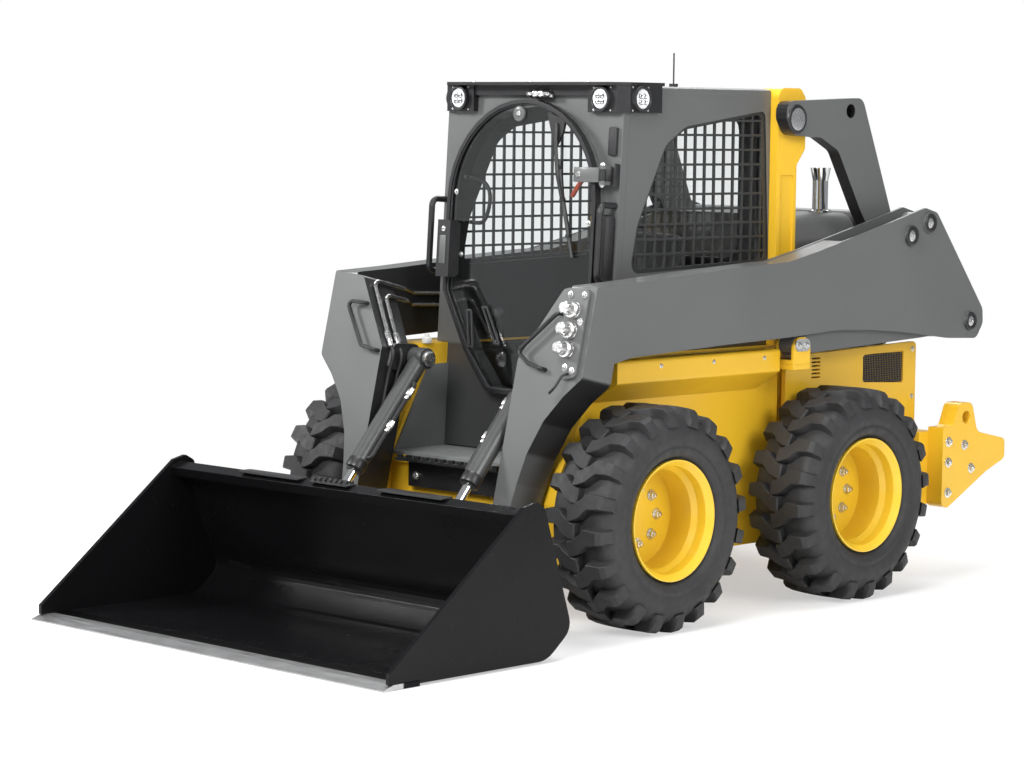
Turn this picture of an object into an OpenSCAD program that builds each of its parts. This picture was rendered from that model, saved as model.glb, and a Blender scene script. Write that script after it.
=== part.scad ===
// Skid steer loader with vertical-lift arms, quick attach and a general-purpose bucket.
// X is forward, Y is to the machine's left, Z is up. The origin lies on the ground,
// in the middle of the machine's length. Outlines are written as [x, z] from the
// middle of the wheelbase, and on_ground() moves them to the origin.

/* [Running gear] */
// Distance between the front and the rear axles
wheelbase = 1140; // [1060:10:1180]
// Diameter of a tyre at the tips of its lugs
tyre_d = 830; // [800:2:838]
// Width of a tyre
tyre_w = 305; // [280:1:312]
// Distance of a wheel's middle plane from the machine's middle
wheel_y = 712; // [708:1:735]
// Diameter of a rim's flanges
rim_d = 445; // [420:1:460]
// Number of lugs along each side of a tyre
lug_count = 16; // [14:1:20]
// Height of a lug above the tread
lug_h = 34; // [24:1:40]
// Diameter of an axle shaft
axle_d = 70; // [50:1:90]
// Depth of the wheel disc behind the rim's outer edge
dish_depth = 181; // [165:1:182]

/* [Frame] */
// Half the width between the chaincases
tub_y = 400; // [396:1:402]
// Width of a chaincase
chaincase_w = 100; // [92:1:104]
// Height of the belly plate above the ground
belly_z = 215; // [180:1:240]
// Thickness of the belly plate and the cross walls
frame_t = 20; // [12:1:30]
// Distance of a fender's outer face from the middle
fender_y = 620; // [600:1:640]
// Height of a fender's top
fender_z = 985; // [970:1:990]
// Thickness of a counterweight slab
slab_t = 75; // [50:1:90]

/* [Cab] */
// Half the width of the cab
cab_y = 460; // [450:1:466]
// Thickness of the cab's side walls
cab_wall = 40; // [25:1:45]
// Height of the roof's top
roof_z = 1985; // [1970:1:2010]
// Half the width of the front door
door_y = 390; // [380:1:392]
// Thickness of the front door
door_t = 30; // [20:1:36]
// Spacing of the side screens' bars
screen_pitch = 56; // [40:1:70]
// Width of a side screen's bar
screen_bar = 9; // [5:0.5:11]

/* [Lift arms] */
// Distance of an arm's outer face from the middle
arm_out = 690; // [684:1:700]
// Distance of an arm's inner face from the middle
arm_in = 565; // [562:1:570]
// Thickness of an arm's plates
arm_plate = 12; // [8:1:14]
// Thickness of a rear link
link_t = 55; // [40:1:56]
// Diameter of the lift linkage's pins
link_pin_d = 50; // [36:1:56]
// Bore of a lift cylinder's barrel over its rod
lift_rod_d = 45; // [36:1:50]
// Outer diameter of a lift cylinder's barrel
lift_barrel_d = 66; // [60:1:68]
// Outer diameter of a tilt cylinder's barrel
tilt_barrel_d = 72; // [60:1:74]
// Diameter of a tilt cylinder's rod
tilt_rod_d = 36; // [28:1:40]

/* [Bucket] */
// Width of the cutting edge
bucket_w = 1884; // [1700:2:2000]
// Thickness of the bucket's shell
bucket_t = 12; // [8:1:16]
// Depth of the cutting edge plate
edge_depth = 165; // [120:1:200]

/* [Hidden] */
$fn = 48;

// Colours as painted
yellow = [0.96, 0.74, 0.10];
grey = [0.42, 0.43, 0.43];
dark = [0.16, 0.17, 0.17];
black = [0.07, 0.07, 0.08];
rubber = [0.20, 0.20, 0.21];
steel = [0.72, 0.72, 0.72];
smoked = [0.30, 0.34, 0.35];
cloth = [0.13, 0.13, 0.14];

// Clearances: a pin in its bore, a seat between flat faces, and free air beside a moving piece
fit = 0.05;
seat_gap = 0.3;
side_gap = 3;

// Overall reach, from the middle of the wheelbase
tail_x = -1700;
edge_x = 2104;
mid_x = (tail_x + edge_x) / 2;
ground_gap = 2;

axle_z = tyre_d / 2;
tyre_in = wheel_y - tyre_w / 2;
case_y = tub_y + chaincase_w;

// Pivots of the lift linkage, [x, z]
link_top = [-450, 1869];
link_low = [-360, 1000];
arm_top = [-1023, 1409];
arm_low = [-1439, 1051];
lift_base = [-680, 650];
lift_eye = [-1360, 1130];
bucket_pin = [1050, 215];
tilt_base = [740, 940];
tilt_eye = [1185, 420];
arm_tube_at = [-1142, 1459];
arm_tube_d = 84;

// Places across the machine
link_out = arm_in - 10;
link_in = link_out - link_t;
tower_out = link_in - side_gap;
lift_y = (tub_y + 12 + tower_out) / 2;
rail_in = arm_in + arm_plate;
rail_out = arm_out - arm_plate;
low_link_w = rail_out - rail_in - 36;
low_link_y = (rail_in + rail_out) / 2;
leg_in = 360;
leg_out = 445;
ear_t = 13;
tilt_y = leg_in - side_gap - ear_t - side_gap - tilt_barrel_d / 2;

roof_t = 30;

// Front plane of the cab, which leans back towards the roof
front_x = 564;
front_z = 775;
front_lean = 3.4;
front_top = (roof_z - roof_t - front_z) / cos(front_lean);
wall_out = -50;
wall_in = -85;
door_back = -25;
jamb_w = 22;
// Place along the machine of a layer of the cab's front, at height z
function front_at(z, layer) = front_x - (z - front_z) * tan(front_lean) + layer / cos(front_lean);

// Front plate of the arms' legs, which leans forward towards the bucket
leg_x = 830;
leg_z = 1262;
leg_lean = 13.1;
leg_depth = 155;

// Unit vector
function unit(v) = v / norm(v);
// Arc that rounds the corner at b between a and c, on a flat outline
function corner_arc(a, b, c, r, n) = r == 0 ? [b] :
    let (u = unit(a - b), v = unit(c - b), half = acos(u * v) / 2,
         centre = b + unit(u + v) * (r / sin(half)),
         p = b + u * (r / tan(half)) - centre, q = b + v * (r / tan(half)) - centre,
         from = atan2(p[1], p[0]), turn = (atan2(q[1], q[0]) - from + 540) % 360 - 180)
    [for (i = [0:n]) centre + r * [cos(from + turn * i / n), sin(from + turn * i / n)]];
// Outline of [x, z, corner radius] points with its corners rounded
function rounded(pts, n = 4) = [for (i = [0:len(pts) - 1])
    let (m = len(pts), a = pts[(i + m - 1) % m], b = pts[i], c = pts[(i + 1) % m])
    each corner_arc([a[0], a[1]], [b[0], b[1]], [c[0], c[1]], b[2], n)];
// Path through 3-D points with its bends rounded
function bent(pts, r, n = 5) = [for (i = [0:len(pts) - 1])
    each (i == 0 || i == len(pts) - 1) ? [pts[i]] :
    let (u = unit(pts[i - 1] - pts[i]), v = unit(pts[i + 1] - pts[i]), half = acos(u * v) / 2,
         centre = pts[i] + unit(u + v) * (r / sin(half)),
         p = (pts[i] + u * (r / tan(half)) - centre) / r,
         q = (pts[i] + v * (r / tan(half)) - centre) / r, span = acos(p * q))
    [for (k = [0:n]) centre + r * (sin(span * (1 - k / n)) * p + sin(span * k / n) * q) / sin(span)]];
// Direction of a path at each of its points
function path_dir(p, i) = unit((i > 0 ? unit(p[i] - p[i - 1]) : [0, 0, 0]) +
                               (i < len(p) - 1 ? unit(p[i + 1] - p[i]) : [0, 0, 0]));

// Moves a module's outlines from the wheelbase's middle to the origin
module on_ground() translate([-mid_x, 0, 0]) children();
// Draws its children on both sides of the machine
module both_sides() {
    children();
    mirror([0, 1, 0]) children();
}
// Extrudes an [x, z] outline across the machine, between two distances from the middle
module slab(y0, y1) translate([0, y1, 0]) rotate([90, 0, 0]) linear_extrude(y1 - y0) children();
// Extrudes a [y, z] outline along the machine
module along_x(x0, x1) translate([x0, 0, 0]) rotate([90, 0, 90]) linear_extrude(x1 - x0) children();
// Round bar across the machine at [x, z]
module bar(at, d, y0, y1) translate([at[0], y1, at[1]]) rotate([90, 0, 0]) cylinder(d = d, h = y1 - y0);
// Box between two corners
module box(low, high) translate(low) cube(high - low);
// Round tube swept along a path
module tube(path, d, sides = 8) {
    m = len(path);
    rings = [for (i = [0:m - 1])
        let (t = path_dir(path, i), side = unit(cross(abs(t[1]) > 0.9 ? [1, 0, 0] : [0, 1, 0], t)),
             up = cross(t, side))
        for (k = [0:sides - 1]) path[i] + d / 2 * (cos(360 * k / sides) * side + sin(360 * k / sides) * up)];
    walls = [for (i = [0:m - 2]) for (k = [0:sides - 1])
        [i * sides + k, (i + 1) * sides + k, (i + 1) * sides + (k + 1) % sides, i * sides + (k + 1) % sides]];
    first = [for (k = [0:sides - 1]) k];
    last = [for (k = [sides - 1:-1:0]) (m - 1) * sides + k];
    polyhedron(rings, concat(walls, [first, last]), convexity = 6);
}
// Cylinder's own frame: x runs from its base pivot to its rod's eye
module from_to(a, b, y) translate([a[0], y, a[1]])
    rotate([0, -atan2(b[1] - a[1], b[0] - a[0]), 0]) children();
// Cab front's own frame: x is out of the door, z runs up the leaning plane
module on_front() translate([front_x, 0, front_z]) rotate([0, -front_lean, 0]) children();

// Frame: belly plate, cross walls and the rear beams
rear_beam = -1302;
beam_z = 600;
case_tail = -840;
module main_frame() color(yellow) on_ground() {
    both_sides() {
        box([rear_beam, tub_y - 1, 300], [-1200, fender_y + 5, beam_z]);
        box([-1201, tub_y - 1, 540], [case_tail - seat_gap, tub_y + 12, beam_z]);
    }
    box([-1262, -tub_y, belly_z], [800, tub_y, belly_z + frame_t]);
    box([-1262, -tub_y, belly_z + 1], [-1262 + frame_t, tub_y, 540]);
    box([-440, -tub_y, belly_z + 1], [-440 + frame_t, tub_y, fender_z]);
    box([800 - frame_t, -tub_y, belly_z + 1], [800, tub_y, 560]);
    box([800 - frame_t, -tub_y, 545], [822, tub_y, 575]);
}

// Chaincases with their fenders, the lower links' shelves and the lift cylinders' pins
chaincase_line = [[case_tail, beam_z, 0], [case_tail, belly_z + 50, 30], [-770, belly_z, 30],
    [790, belly_z, 40], [836, 420, 20], [838, 460, 25], [805, 580, 40], [610, 935, 30],
    [-430, 935, 0], [-430, beam_z, 0]];
fender_line = [[case_y, 822, 0], [fender_y, 898, 12], [fender_y, fender_z, 14], [case_y, fender_z, 0]];
shelf_z = link_low[1] - 95;
shelf_t = 20;
bracket_half = 52;
module chaincases() color(yellow) on_ground() both_sides() {
    slab(tub_y, case_y) polygon(rounded(chaincase_line));
    along_x(-295, 640) polygon(rounded(fender_line));
    along_x(-430, 640) polygon([[tub_y, 930], [case_y + 1, 930], [case_y + 1, fender_z], [tub_y, fender_z]]);
    box([link_low[0] - bracket_half, case_y - 10, shelf_z],
        [link_low[0] + bracket_half, rail_out - side_gap, shelf_z + shelf_t]);
    slab(tub_y, tub_y + 10) polygon(rounded([[lift_base[0] - 55, 590, 0], [lift_base[0] + 55, 590, 0],
        [lift_base[0] + 45, lift_base[1] + 40, 30], [lift_base[0] - 45, lift_base[1] + 40, 30]]));
    bar(lift_base, link_pin_d - 10, tub_y, lift_y + lift_barrel_d / 2 + 10);
}

// Forked brackets on the shelves, which carry the lower links' front pins
module link_brackets() color(yellow) on_ground() both_sides() {
    for (y = [rail_in + side_gap, rail_out - side_gap - 11]) slab(y, y + 11)
        polygon(rounded([[link_low[0] - bracket_half, shelf_z + shelf_t, 0],
            [link_low[0] + bracket_half, shelf_z + shelf_t, 0], [link_low[0] + bracket_half, link_low[1], 20],
            [link_low[0] + 26, link_low[1] + 30, 24], [link_low[0] - 26, link_low[1] + 30, 24],
            [link_low[0] - bracket_half, link_low[1], 20]]));
    box([link_low[0] - bracket_half, rail_in + side_gap, shelf_z + shelf_t],
        [link_low[0] + bracket_half, rail_out - side_gap, shelf_z + shelf_t + 18]);
    bar(link_low, link_pin_d - 10, rail_in + side_gap + 1, rail_out - side_gap - 1);
}

// Uprights behind the cab that carry the rear links
module uprights() color(yellow) on_ground() both_sides() {
    difference() {
        slab(tub_y, tower_out) polygon(rounded([[-600, beam_z, 0], [-442, beam_z, 0],
            [-442, fender_z + 2, 0], [-406, fender_z + 2, 0], [-406, 1960, 30], [-430, 1990, 30],
            [-545, 1990, 30], [-577, 1950, 30], [-577, 1752, 20], [-526, 1690, 20],
            [-526, 1010, 20], [-600, 930, 20]]));
        slab(tower_out - 6, tower_out + 1) polygon(rounded([[-508, 1050, 10], [-428, 1050, 10],
            [-428, 1650, 10], [-508, 1650, 10]]));
        bar(link_top, link_pin_d - 1, tub_y - 1, tower_out + 1);
    }
    bar(link_top, link_pin_d, tub_y, link_out + 6);
    bar(link_top, link_pin_d + 36, link_out + 1, link_out + 7);
}

// Panels beside the engine, behind the rear tyres
panel_y = case_y + 40;
panel_low = beam_z + seat_gap;
module side_panels() color(yellow) on_ground() both_sides() difference() {
    slab(panel_y - 20, panel_y) polygon(rounded([[-1280, panel_low, 0], [-430.3, panel_low, 0],
        [-430.3, 942, 0], [-1280, 966, 20]]));
    slab(panel_y - 8, panel_y + 1) polygon(rounded([[-1195, 800, 12], [-925, 815, 12],
        [-925, 925, 12], [-1195, 935, 12]]));
    for (i = [0:5]) slab(panel_y - 21, panel_y + 1) translate([-648, 848 + i * 15]) square([54, 7]);
}

// Counterweight slabs at the tail, each with a tie-down eye
tie_hole = [-1420, 655];
tie_hole_d = 52;
slab_line = [[-1262, 620, 0], [-1262, 300, 20], [-1300, 286, 30], [-1570, 419, 60], [tail_x, 465, 25],
    [tail_x, 548, 25], [-1500, 590, 40], [-1460, 715, 35], [-1370, 715, 35], [-1330, 620, 30]];
module counterweights() color(yellow) on_ground() both_sides() difference() {
    slab(fender_y + 5, fender_y + 5 + slab_t) polygon(rounded(slab_line));
    bar(tie_hole, tie_hole_d, fender_y, fender_y + 10 + slab_t);
}

// Engine as one plain block
module engine_block() color(dark) on_ground() {
    box([-1130, -270, belly_z + frame_t], [-640, 270, 980]);
    box([-1060, -200, 979], [-720, 200, 1130]);
}

// Hood over the engine, open below and behind
hood_y = tub_y - 1 - seat_gap;
hood_t = 14;
hood_x = -1250;
hood_z = arm_tube_at[1] - arm_tube_d / 2 - 14;
module hood_outline(w, low, high) polygon(rounded([[w, low, 0], [w, high - 110, 60], [w - 60, high, 80],
    [60 - w, high, 80], [-w, high - 110, 60], [-w, low, 0]], 6));
hood_front = -620;
hump_x = -1068;
hump_z = 1490;
// Joint between the hood that lifts off and the raised cowl in front of it
hood_seam = 2 * seat_gap;
// Outside of the hood, or its inside where it is inset by the sheet's thickness
module hood_form(inset, cut) {
    along_x(hood_x - cut, hood_front - inset) hood_outline(hood_y - inset, 560 - cut, hood_z - inset);
    along_x(hump_x + inset, hood_front - inset) hood_outline(hood_y - inset, 560 - cut, hump_z - inset);
}
module hood() color(grey) on_ground() {
    difference() {
        hood_form(0, 0);
        hood_form(hood_t, 1);
        box([hump_x - hood_seam, -hood_y - 1, 559], [hump_x, hood_y + 1, hump_z + 1]);
        for (i = [0:8]) box([-1200 + i * 52, -hood_y - 1, 1120], [-1180 + i * 52, hood_y + 1, 1290]);
    }
    for (z = rear_hinge_z) {
        for (s = [-49, 49]) box([rear_hinge[0] - 9, rear_y + side_gap, z + s - 8],
            [hood_x + 20, hood_y, z + s + 8]);
        translate([rear_hinge[0], rear_hinge[1], z - 50]) cylinder(d = rear_pin_d, h = 100);
    }
}

// Exhaust pipe through the hood
exhaust_at = [-1005, 240];
module exhaust() color(steel) on_ground() translate([exhaust_at[0], exhaust_at[1], hump_z + seat_gap])
    rotate_extrude() polygon([[28, 0], [50, 0], [50, 8], [32, 14], [32, 130], [42, 182], [38, 182],
        [28, 130]]);

// Housings that carry the axle shafts
module axle_housings() color(dark) on_ground() both_sides() for (x = [-1, 1]) difference() {
    union() {
        bar([x * wheelbase / 2, axle_z], axle_d + 90, case_y, case_y + 18);
        bar([x * wheelbase / 2, axle_z], axle_d + 50, case_y, tyre_in + 60);
    }
    bar([x * wheelbase / 2, axle_z], axle_d + 2 * fit, case_y - 1, tyre_in + 80);
}

// Toothed step under the door
step_half = 270;
module front_step() color(black) on_ground() {
    box([822, -step_half, 460], [834, step_half, 575]);
    box([822, -step_half, 563], [905, step_half, 575]);
    for (i = [0:11]) box([893, -step_half + 10 + i * 46, 575], [905, -step_half + 34 + i * 46, 587]);
}

// Floor and side liners of the footwell
module footwell() color(dark) on_ground() {
    box([120, -tub_y, 575], [822, tub_y, 585]);
    box([-300, -tub_y, 575], [120, tub_y, 760]);
    box([-300, -tub_y, 760], [-200, tub_y, fender_z]);
    both_sides() slab(tub_y - 10, tub_y - seat_gap) polygon([[front_at(584, wall_out) + 1, 584], [788, 584],
        [610, 905], [front_at(905, wall_out) + 1, 905]]);
}

// Cab walls with their windows
screen_line = [[405, 1285, 40], [365, 1470, 120], [213, 1765, 90], [100, 1835, 90], [-372, 1900, 25],
    [-405, 1310, 25]];
side_line = [[front_at(fender_z, wall_in) - seat_gap, fender_z, 0],
    [front_at(roof_z - roof_t, wall_in) - seat_gap, roof_z - roof_t, 0],
    [-404, roof_z - roof_t, 0], [-404, fender_z, 0]];
module cab_sides() color(grey) on_ground() both_sides() difference() {
    slab(cab_y - cab_wall, cab_y) polygon(rounded(side_line));
    slab(cab_y - cab_wall - 1, cab_y + 1) polygon(rounded(screen_line, 6));
}
module side_screens() color(dark) on_ground() both_sides() {
    slab(cab_y - 14, cab_y - 14 + screen_bar) intersection() {
        polygon(rounded(screen_line, 6));
        union() {
            for (i = [0:40]) translate([-420 + i * screen_pitch, 1200]) square([screen_bar, 800]);
            for (i = [0:40]) translate([-450, 1240 + i * screen_pitch]) square([950, screen_bar]);
            difference() {
                polygon(rounded(screen_line, 6));
                translate([20, 0]) scale(0.955) translate([-18, 75]) polygon(rounded(screen_line, 6));
            }
        }
    }
}

// Front door's outline on its own leaning plane, as [y, height]
arch_z = 770;
// Corners of the door's narrow lower half: half width, height, and share of the growth that goes down
door_foot = [[door_y, 420, 0], [door_y - 134, 190, 0], [140, 50, 0.5], [95, 35, 1]];
function door_line(grow) = let (foot = [for (p = door_foot) [p[0] + grow, p[1] - p[2] * grow]]) concat(
    [for (a = [0:10:180]) [(door_y + grow) * cos(a), arch_z + (door_y + grow) * sin(a)]],
    [for (p = foot) [-p[0], p[1]]], [for (i = [len(foot) - 1:-1:0]) foot[i]]);
sill = fender_z - front_z + 6;
module cab_front() color(grey) on_ground() on_front() {
    difference() {
        union() {
            along_x(wall_in, wall_out) polygon([[-cab_y, sill], [cab_y, sill],
                [cab_y, front_top], [-cab_y, front_top]]);
            along_x(wall_in, wall_out) polygon([[-tub_y, 592 - front_z], [tub_y, 592 - front_z],
                [tub_y, sill + 1], [-tub_y, sill + 1]]);
            along_x(wall_out - 1, door_back - 5) polygon(door_line(-2));
        }
        along_x(wall_in - 1, door_back) polygon(door_line(-jamb_w));
    }
    for (z = hinge_heights) {
        for (s = [-1, 1]) translate([hinge_x, hinge_y, z + s * 29 - 7]) linear_extrude(14) union() {
            circle(d = hinge_d);
            translate([wall_out - hinge_x - 1, -9]) square([hinge_x - wall_out + 1, 18]);
        }
        translate([hinge_x, hinge_y, z - 30]) cylinder(d = hinge_pin_d, h = 60);
    }
}
function rear_window(shrink) = let (w = 330 - shrink, low = 1320 + shrink, high = 1880 - shrink)
    rounded([[-w, low, 60], [w, low, 60], [w, high, 60], [-w, high, 60]]);
module cab_rear() color(grey) on_ground() difference() {
    box([-404, -cab_y + cab_wall, fender_z + 2], [-370, cab_y - cab_wall, roof_z - roof_t]);
    along_x(-405, -369) polygon(rear_window(0));
}
module rear_glass() color(smoked) on_ground() along_x(-392, -386) polygon(rear_window(seat_gap));
roof_x = front_at(roof_z - roof_t, wall_out);
module roof() color(grey) on_ground() difference() {
    along_x(-404, roof_x) polygon(rounded([[-cab_y, roof_z - roof_t, 0], [cab_y, roof_z - roof_t, 0],
        [cab_y, roof_z - 6, 6], [cab_y - 30, roof_z, 20], [30 - cab_y, roof_z, 20],
        [-cab_y, roof_z - 6, 6]]));
    for (y = [-220, 0, 220]) box([-320, y - 70, roof_z - 6], [180, y + 70, roof_z + 1]);
}

// Visor with the corner housings of the work lamps
visor_y = cab_y + 24;
lamp_x = roof_x + 30;
lamp_low = roof_z - 100;
lamp_wall = front_at(lamp_low, wall_out) + seat_gap;
lamp_side = visor_y - 3;
lamp_box = [[260, cab_y + seat_gap], [260, lamp_side], [lamp_x - 36, lamp_side], [lamp_x, lamp_side - 36],
    [lamp_x, 300],
    [lamp_wall, 300], [lamp_wall, cab_y + seat_gap]];
module visor() color(black) on_ground() {
    translate([0, 0, roof_z + seat_gap]) linear_extrude(12) polygon([[250, -visor_y],
        [lamp_x - 36, -visor_y], [lamp_x + 32, -415], [lamp_x + 32, 415],
        [lamp_x - 36, visor_y], [250, visor_y]]);
    both_sides() translate([0, 0, lamp_low]) linear_extrude(roof_z - lamp_low + 1) polygon(lamp_box);
    box([lamp_wall + 1, -306, roof_z - 38], [lamp_x - 8, 306, roof_z + 0.8]);
}
lamp_z = roof_z - 49;
lamp_d = 76;
module lamp() rotate_extrude() polygon([[0, 0], [lamp_d / 2, 0], [lamp_d / 2, 10], [lamp_d / 2 - 4, 14],
    [lamp_d / 2 - 7, 11], [0, 13]]);
module work_lamps() color(steel) on_ground() both_sides() {
    translate([lamp_x, 372, lamp_z]) rotate([0, 90, 0]) lamp();
    translate([382, lamp_side, lamp_z]) rotate([-90, 0, 0]) lamp();
}

// Seat and hand controls
module seat() color(cloth) on_ground() slab(-235, 235) polygon(rounded([[-180, 760 + seat_gap, 20],
    [270, 760 + seat_gap, 20], [300, 830, 30], [285, 880, 30], [-55, 868, 50], [-150, 1420, 40],
    [-230, 1420, 35], [-196, 1000, 0]]));
module controls() color(dark) on_ground() both_sides() {
    box([-60, 270, 760], [330, 390, 980]);
    translate([290, 330, 980]) cylinder(d = 26, h = 110);
    translate([290, 330, 1090]) sphere(d = 58);
}

module antenna() color(black) on_ground() translate([-10, 300, roof_z]) {
    cylinder(d = 34, h = 14);
    cylinder(d = 6, h = 131);
}

// Handles beside the door
grab_y = cab_y - 18;
module grab_handles() color(black) on_ground() on_front() both_sides()
    tube(bent([[wall_out + 0.3, grab_y, 490], [34, grab_y, 490], [34, grab_y, 770],
        [wall_out + 0.3, grab_y, 770]], 28), 24);

// Rear door with its grille
rear_x = -1300;
rear_y = 366;
rear_hinge = [rear_x, rear_y + 9];
rear_hinge_d = 26;
rear_pin_d = 12;
rear_hinge_z = [760, 1240];
module rear_door() color(grey) on_ground() {
    difference() {
        along_x(rear_x, rear_x + 36) polygon(rounded([[-rear_y, 550, 20], [rear_y, 550, 20],
            [rear_y, hood_z - 120, 60], [rear_y - 60, hood_z - 20, 60], [60 - rear_y, hood_z - 20, 60],
            [-rear_y, hood_z - 120, 60]]));
        along_x(rear_x - 1, rear_x + 37) polygon(rounded([[-280, 700, 8], [280, 700, 8],
            [280, 1232, 8], [-280, 1232, 8]]));
        for (z = rear_hinge_z) translate([rear_hinge[0], rear_hinge[1], z - 60])
            cylinder(d = rear_hinge_d + 8, h = 120);
    }
    for (z = rear_hinge_z) translate([rear_hinge[0], rear_hinge[1], z - 40]) difference() {
        union() {
            cylinder(d = rear_hinge_d, h = 80);
            box([0, -40, 0], [10, 0, 80]);
        }
        translate([0, 0, -1]) cylinder(d = rear_pin_d + 2 * fit, h = 82);
    }
}
module rear_grille() color(black) on_ground() {
    for (i = [0:10]) box([rear_x + 8, -280, 712 + i * 49], [rear_x + 30, 280, 730 + i * 49]);
    for (y = [-280, -8, 264]) box([rear_x + 14, y, 712], [rear_x + 24, y + 16, 1220]);
}

// Front door: frame, glass and handle, hung on its left edge
hinge_x = 14;
hinge_y = 428;
hinge_d = 26;
hinge_pin_d = 12;
hinge_heights = [430, 880];
door_front = door_back + door_t;
door_rim = 16;
module door_frame() color(black) on_ground() on_front() {
    difference() {
        along_x(door_back, door_front) polygon(door_line(0));
        along_x(door_back - 1, door_front + 1) polygon(door_line(-door_rim));
    }
    for (z = hinge_heights) difference() {
        union() {
            translate([hinge_x, hinge_y, z - 20]) cylinder(d = hinge_d, h = 40);
            box([door_front - 1, door_y - 60, z - 20], [door_front + 10, hinge_y, z + 20]);
        }
        translate([hinge_x, hinge_y, z - 30]) cylinder(d = hinge_pin_d + 2 * fit, h = 60);
    }
}
module door_glass() color(smoked) on_ground() on_front()
    along_x(door_back + 11, door_back + 17) polygon(door_line(-door_rim - seat_gap));
module door_handle() color(black) on_ground() on_front() {
    box([door_front, -door_y + 2, 470], [door_front + 45, -door_y + 70, 690]);
    box([door_back + 17 + seat_gap, -door_y + door_rim + 1, 480], [door_front + 1, -door_y + 70, 680]);
}

// Rear links, welded to their cross tube
link_line = [[link_top[0] + 64, link_top[1] + 69, 45], [-866, 1957, 45], [-1080, 1470, 40],
    [arm_top[0] - 62, arm_top[1] + 10, 20], [arm_top[0] - 30, arm_top[1] - 58, 30],
    [arm_top[0] + 40, arm_top[1] - 55, 30], [-864, 1511, 60], [-715, 1747, 60], [-600, 1800, 60],
    [link_top[0] + 20, link_top[1] - 62, 50], [link_top[0] + 62, link_top[1], 25]];
link_tube_at = [-790, 1904];
link_tube_d = 76;
module rear_link() color(grey) on_ground() {
    both_sides() difference() {
        slab(link_in, link_out) polygon(rounded(link_line));
        bar(link_top, link_pin_d + 2 * fit, link_in - 1, link_out + 1);
        bar(arm_top, link_pin_d + 2 * fit, link_in - 1, link_out + 1);
        bar(link_tube_at, link_tube_d - 20, link_in - 1, link_out + 1);
    }
    difference() {
        bar(link_tube_at, link_tube_d, -link_in, link_in);
        bar(link_tube_at, link_tube_d - 20, -link_in - 1, link_in + 1);
    }
}

// Lower links, which run between the arms' plates
module lower_links() color(grey) on_ground() both_sides() difference() {
    slab(low_link_y - low_link_w / 2, low_link_y + low_link_w / 2) union() {
        translate(link_low) circle(d = 86);
        translate(arm_low) circle(d = 86);
        polygon([link_low + [0, 34], link_low + [0, -38], arm_low + [300, -58], arm_low + [0, -40],
            arm_low + [0, 40], arm_low + [300, 22]]);
    }
    bar(link_low, link_pin_d - 10 + 2 * fit, rail_in, rail_out);
    bar(arm_low, link_pin_d - 10, rail_in, rail_out);
}

// Lift arms: a box beam in front, two plates behind, and a leg down to the bucket
beam_line = [[leg_x, leg_z, 10], [600, 1274, 0], [270, 1297, 0], [-180, 1322, 0], [-250, 1324, 0],
    [-250, 1034, 0], [150, 1022, 0], [640, 1001, 0], [720, 986, 0], [901, 957, 0]];
rear_line = [[-249, 1324, 0], [-430, 1360, 60], [-870, 1460, 0], [-1120, 1520, 40], [-1200, 1500, 40],
    [-1430, 1222, 60], [-1530, 1100, 40], [-1535, 1040, 40], [-1490, 978, 40], [-1290, 987, 0],
    [-990, 1024, 60], [-790, 1041, 0], [-570, 1050, 0], [-249, 1034, 0]];
leg_line = [[arm_out, 0, 8], [arm_out, -331, 30], [arm_out - 77, -403, 60], [537, -499, 80],
    [484, -621, 80], [460, -733, 60], [leg_out, -840, 0], [leg_out, -1078, 0], [leg_in, -1078, 0],
    [leg_in, -280, 40], [530, -12, 20]];
module on_leg() translate([leg_x, 0, leg_z]) rotate([0, -leg_lean, 0]) children();
module arm() difference() {
    union() {
        slab(arm_in, arm_out) polygon(rounded(beam_line));
        slab(arm_in, arm_in + arm_plate) polygon(rounded(rear_line));
        slab(arm_out - arm_plate, arm_out) polygon(rounded(rear_line));
        slab(arm_in + 1, arm_out - 1) polygon([[-249, 1322], [-430, 1358], [-600, 1396], [-600, 1382],
            [-430, 1344], [-249, 1308]]);
        on_leg() along_x(-leg_depth, 0) polygon(rounded(leg_line));
        slab(leg_in - side_gap - ear_t + 1, leg_in + 12) polygon(rounded([
            [tilt_base[0] - 48, tilt_base[1] - 10, 20], [tilt_base[0] - 20, tilt_base[1] + 50, 20],
            [840, 1000, 20], [870, 900, 20], [tilt_base[0] + 10, tilt_base[1] - 50, 20]]));
        bar(tilt_base, 40, tilt_y - tilt_barrel_d / 2 - 12, leg_in);
        bar(tilt_base, 64, tilt_y - tilt_barrel_d / 2 - 12, tilt_y - tilt_barrel_d / 2 - side_gap);
        bar(bucket_pin, 104, leg_in - 1, leg_out + 1);
        bar(lift_eye, 96, lift_y + lift_barrel_d / 2 + side_gap + 2, arm_in + 1);
        bar(arm_top, link_pin_d, link_in - 8, arm_out + 6);
        bar(arm_top, link_pin_d + 30, link_in - 14, link_in - side_gap);
        bar(arm_top, link_pin_d + 28, arm_out - 1, arm_out + 8);
        for (s = [0, 1]) bar(arm_low, 78, s ? arm_out - 1 : arm_in, s ? arm_out + 8 : arm_in + arm_plate + 3);
    }
    bar(arm_tube_at, arm_tube_d, arm_in - 1, arm_out + 1);
    bar(bucket_pin, 44 + 2 * fit, leg_in - 2, leg_out + 2);
}
module arm_left() color(grey) on_ground() arm();
module arm_right() color(grey) on_ground() mirror([0, 1, 0]) arm();
module arm_cross_tube() color(grey) on_ground() difference() {
    bar(arm_tube_at, arm_tube_d - 2 * seat_gap, -arm_out - 10, arm_out + 10);
    bar(arm_tube_at, arm_tube_d - 22, -arm_out - 11, arm_out + 11);
}

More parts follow.
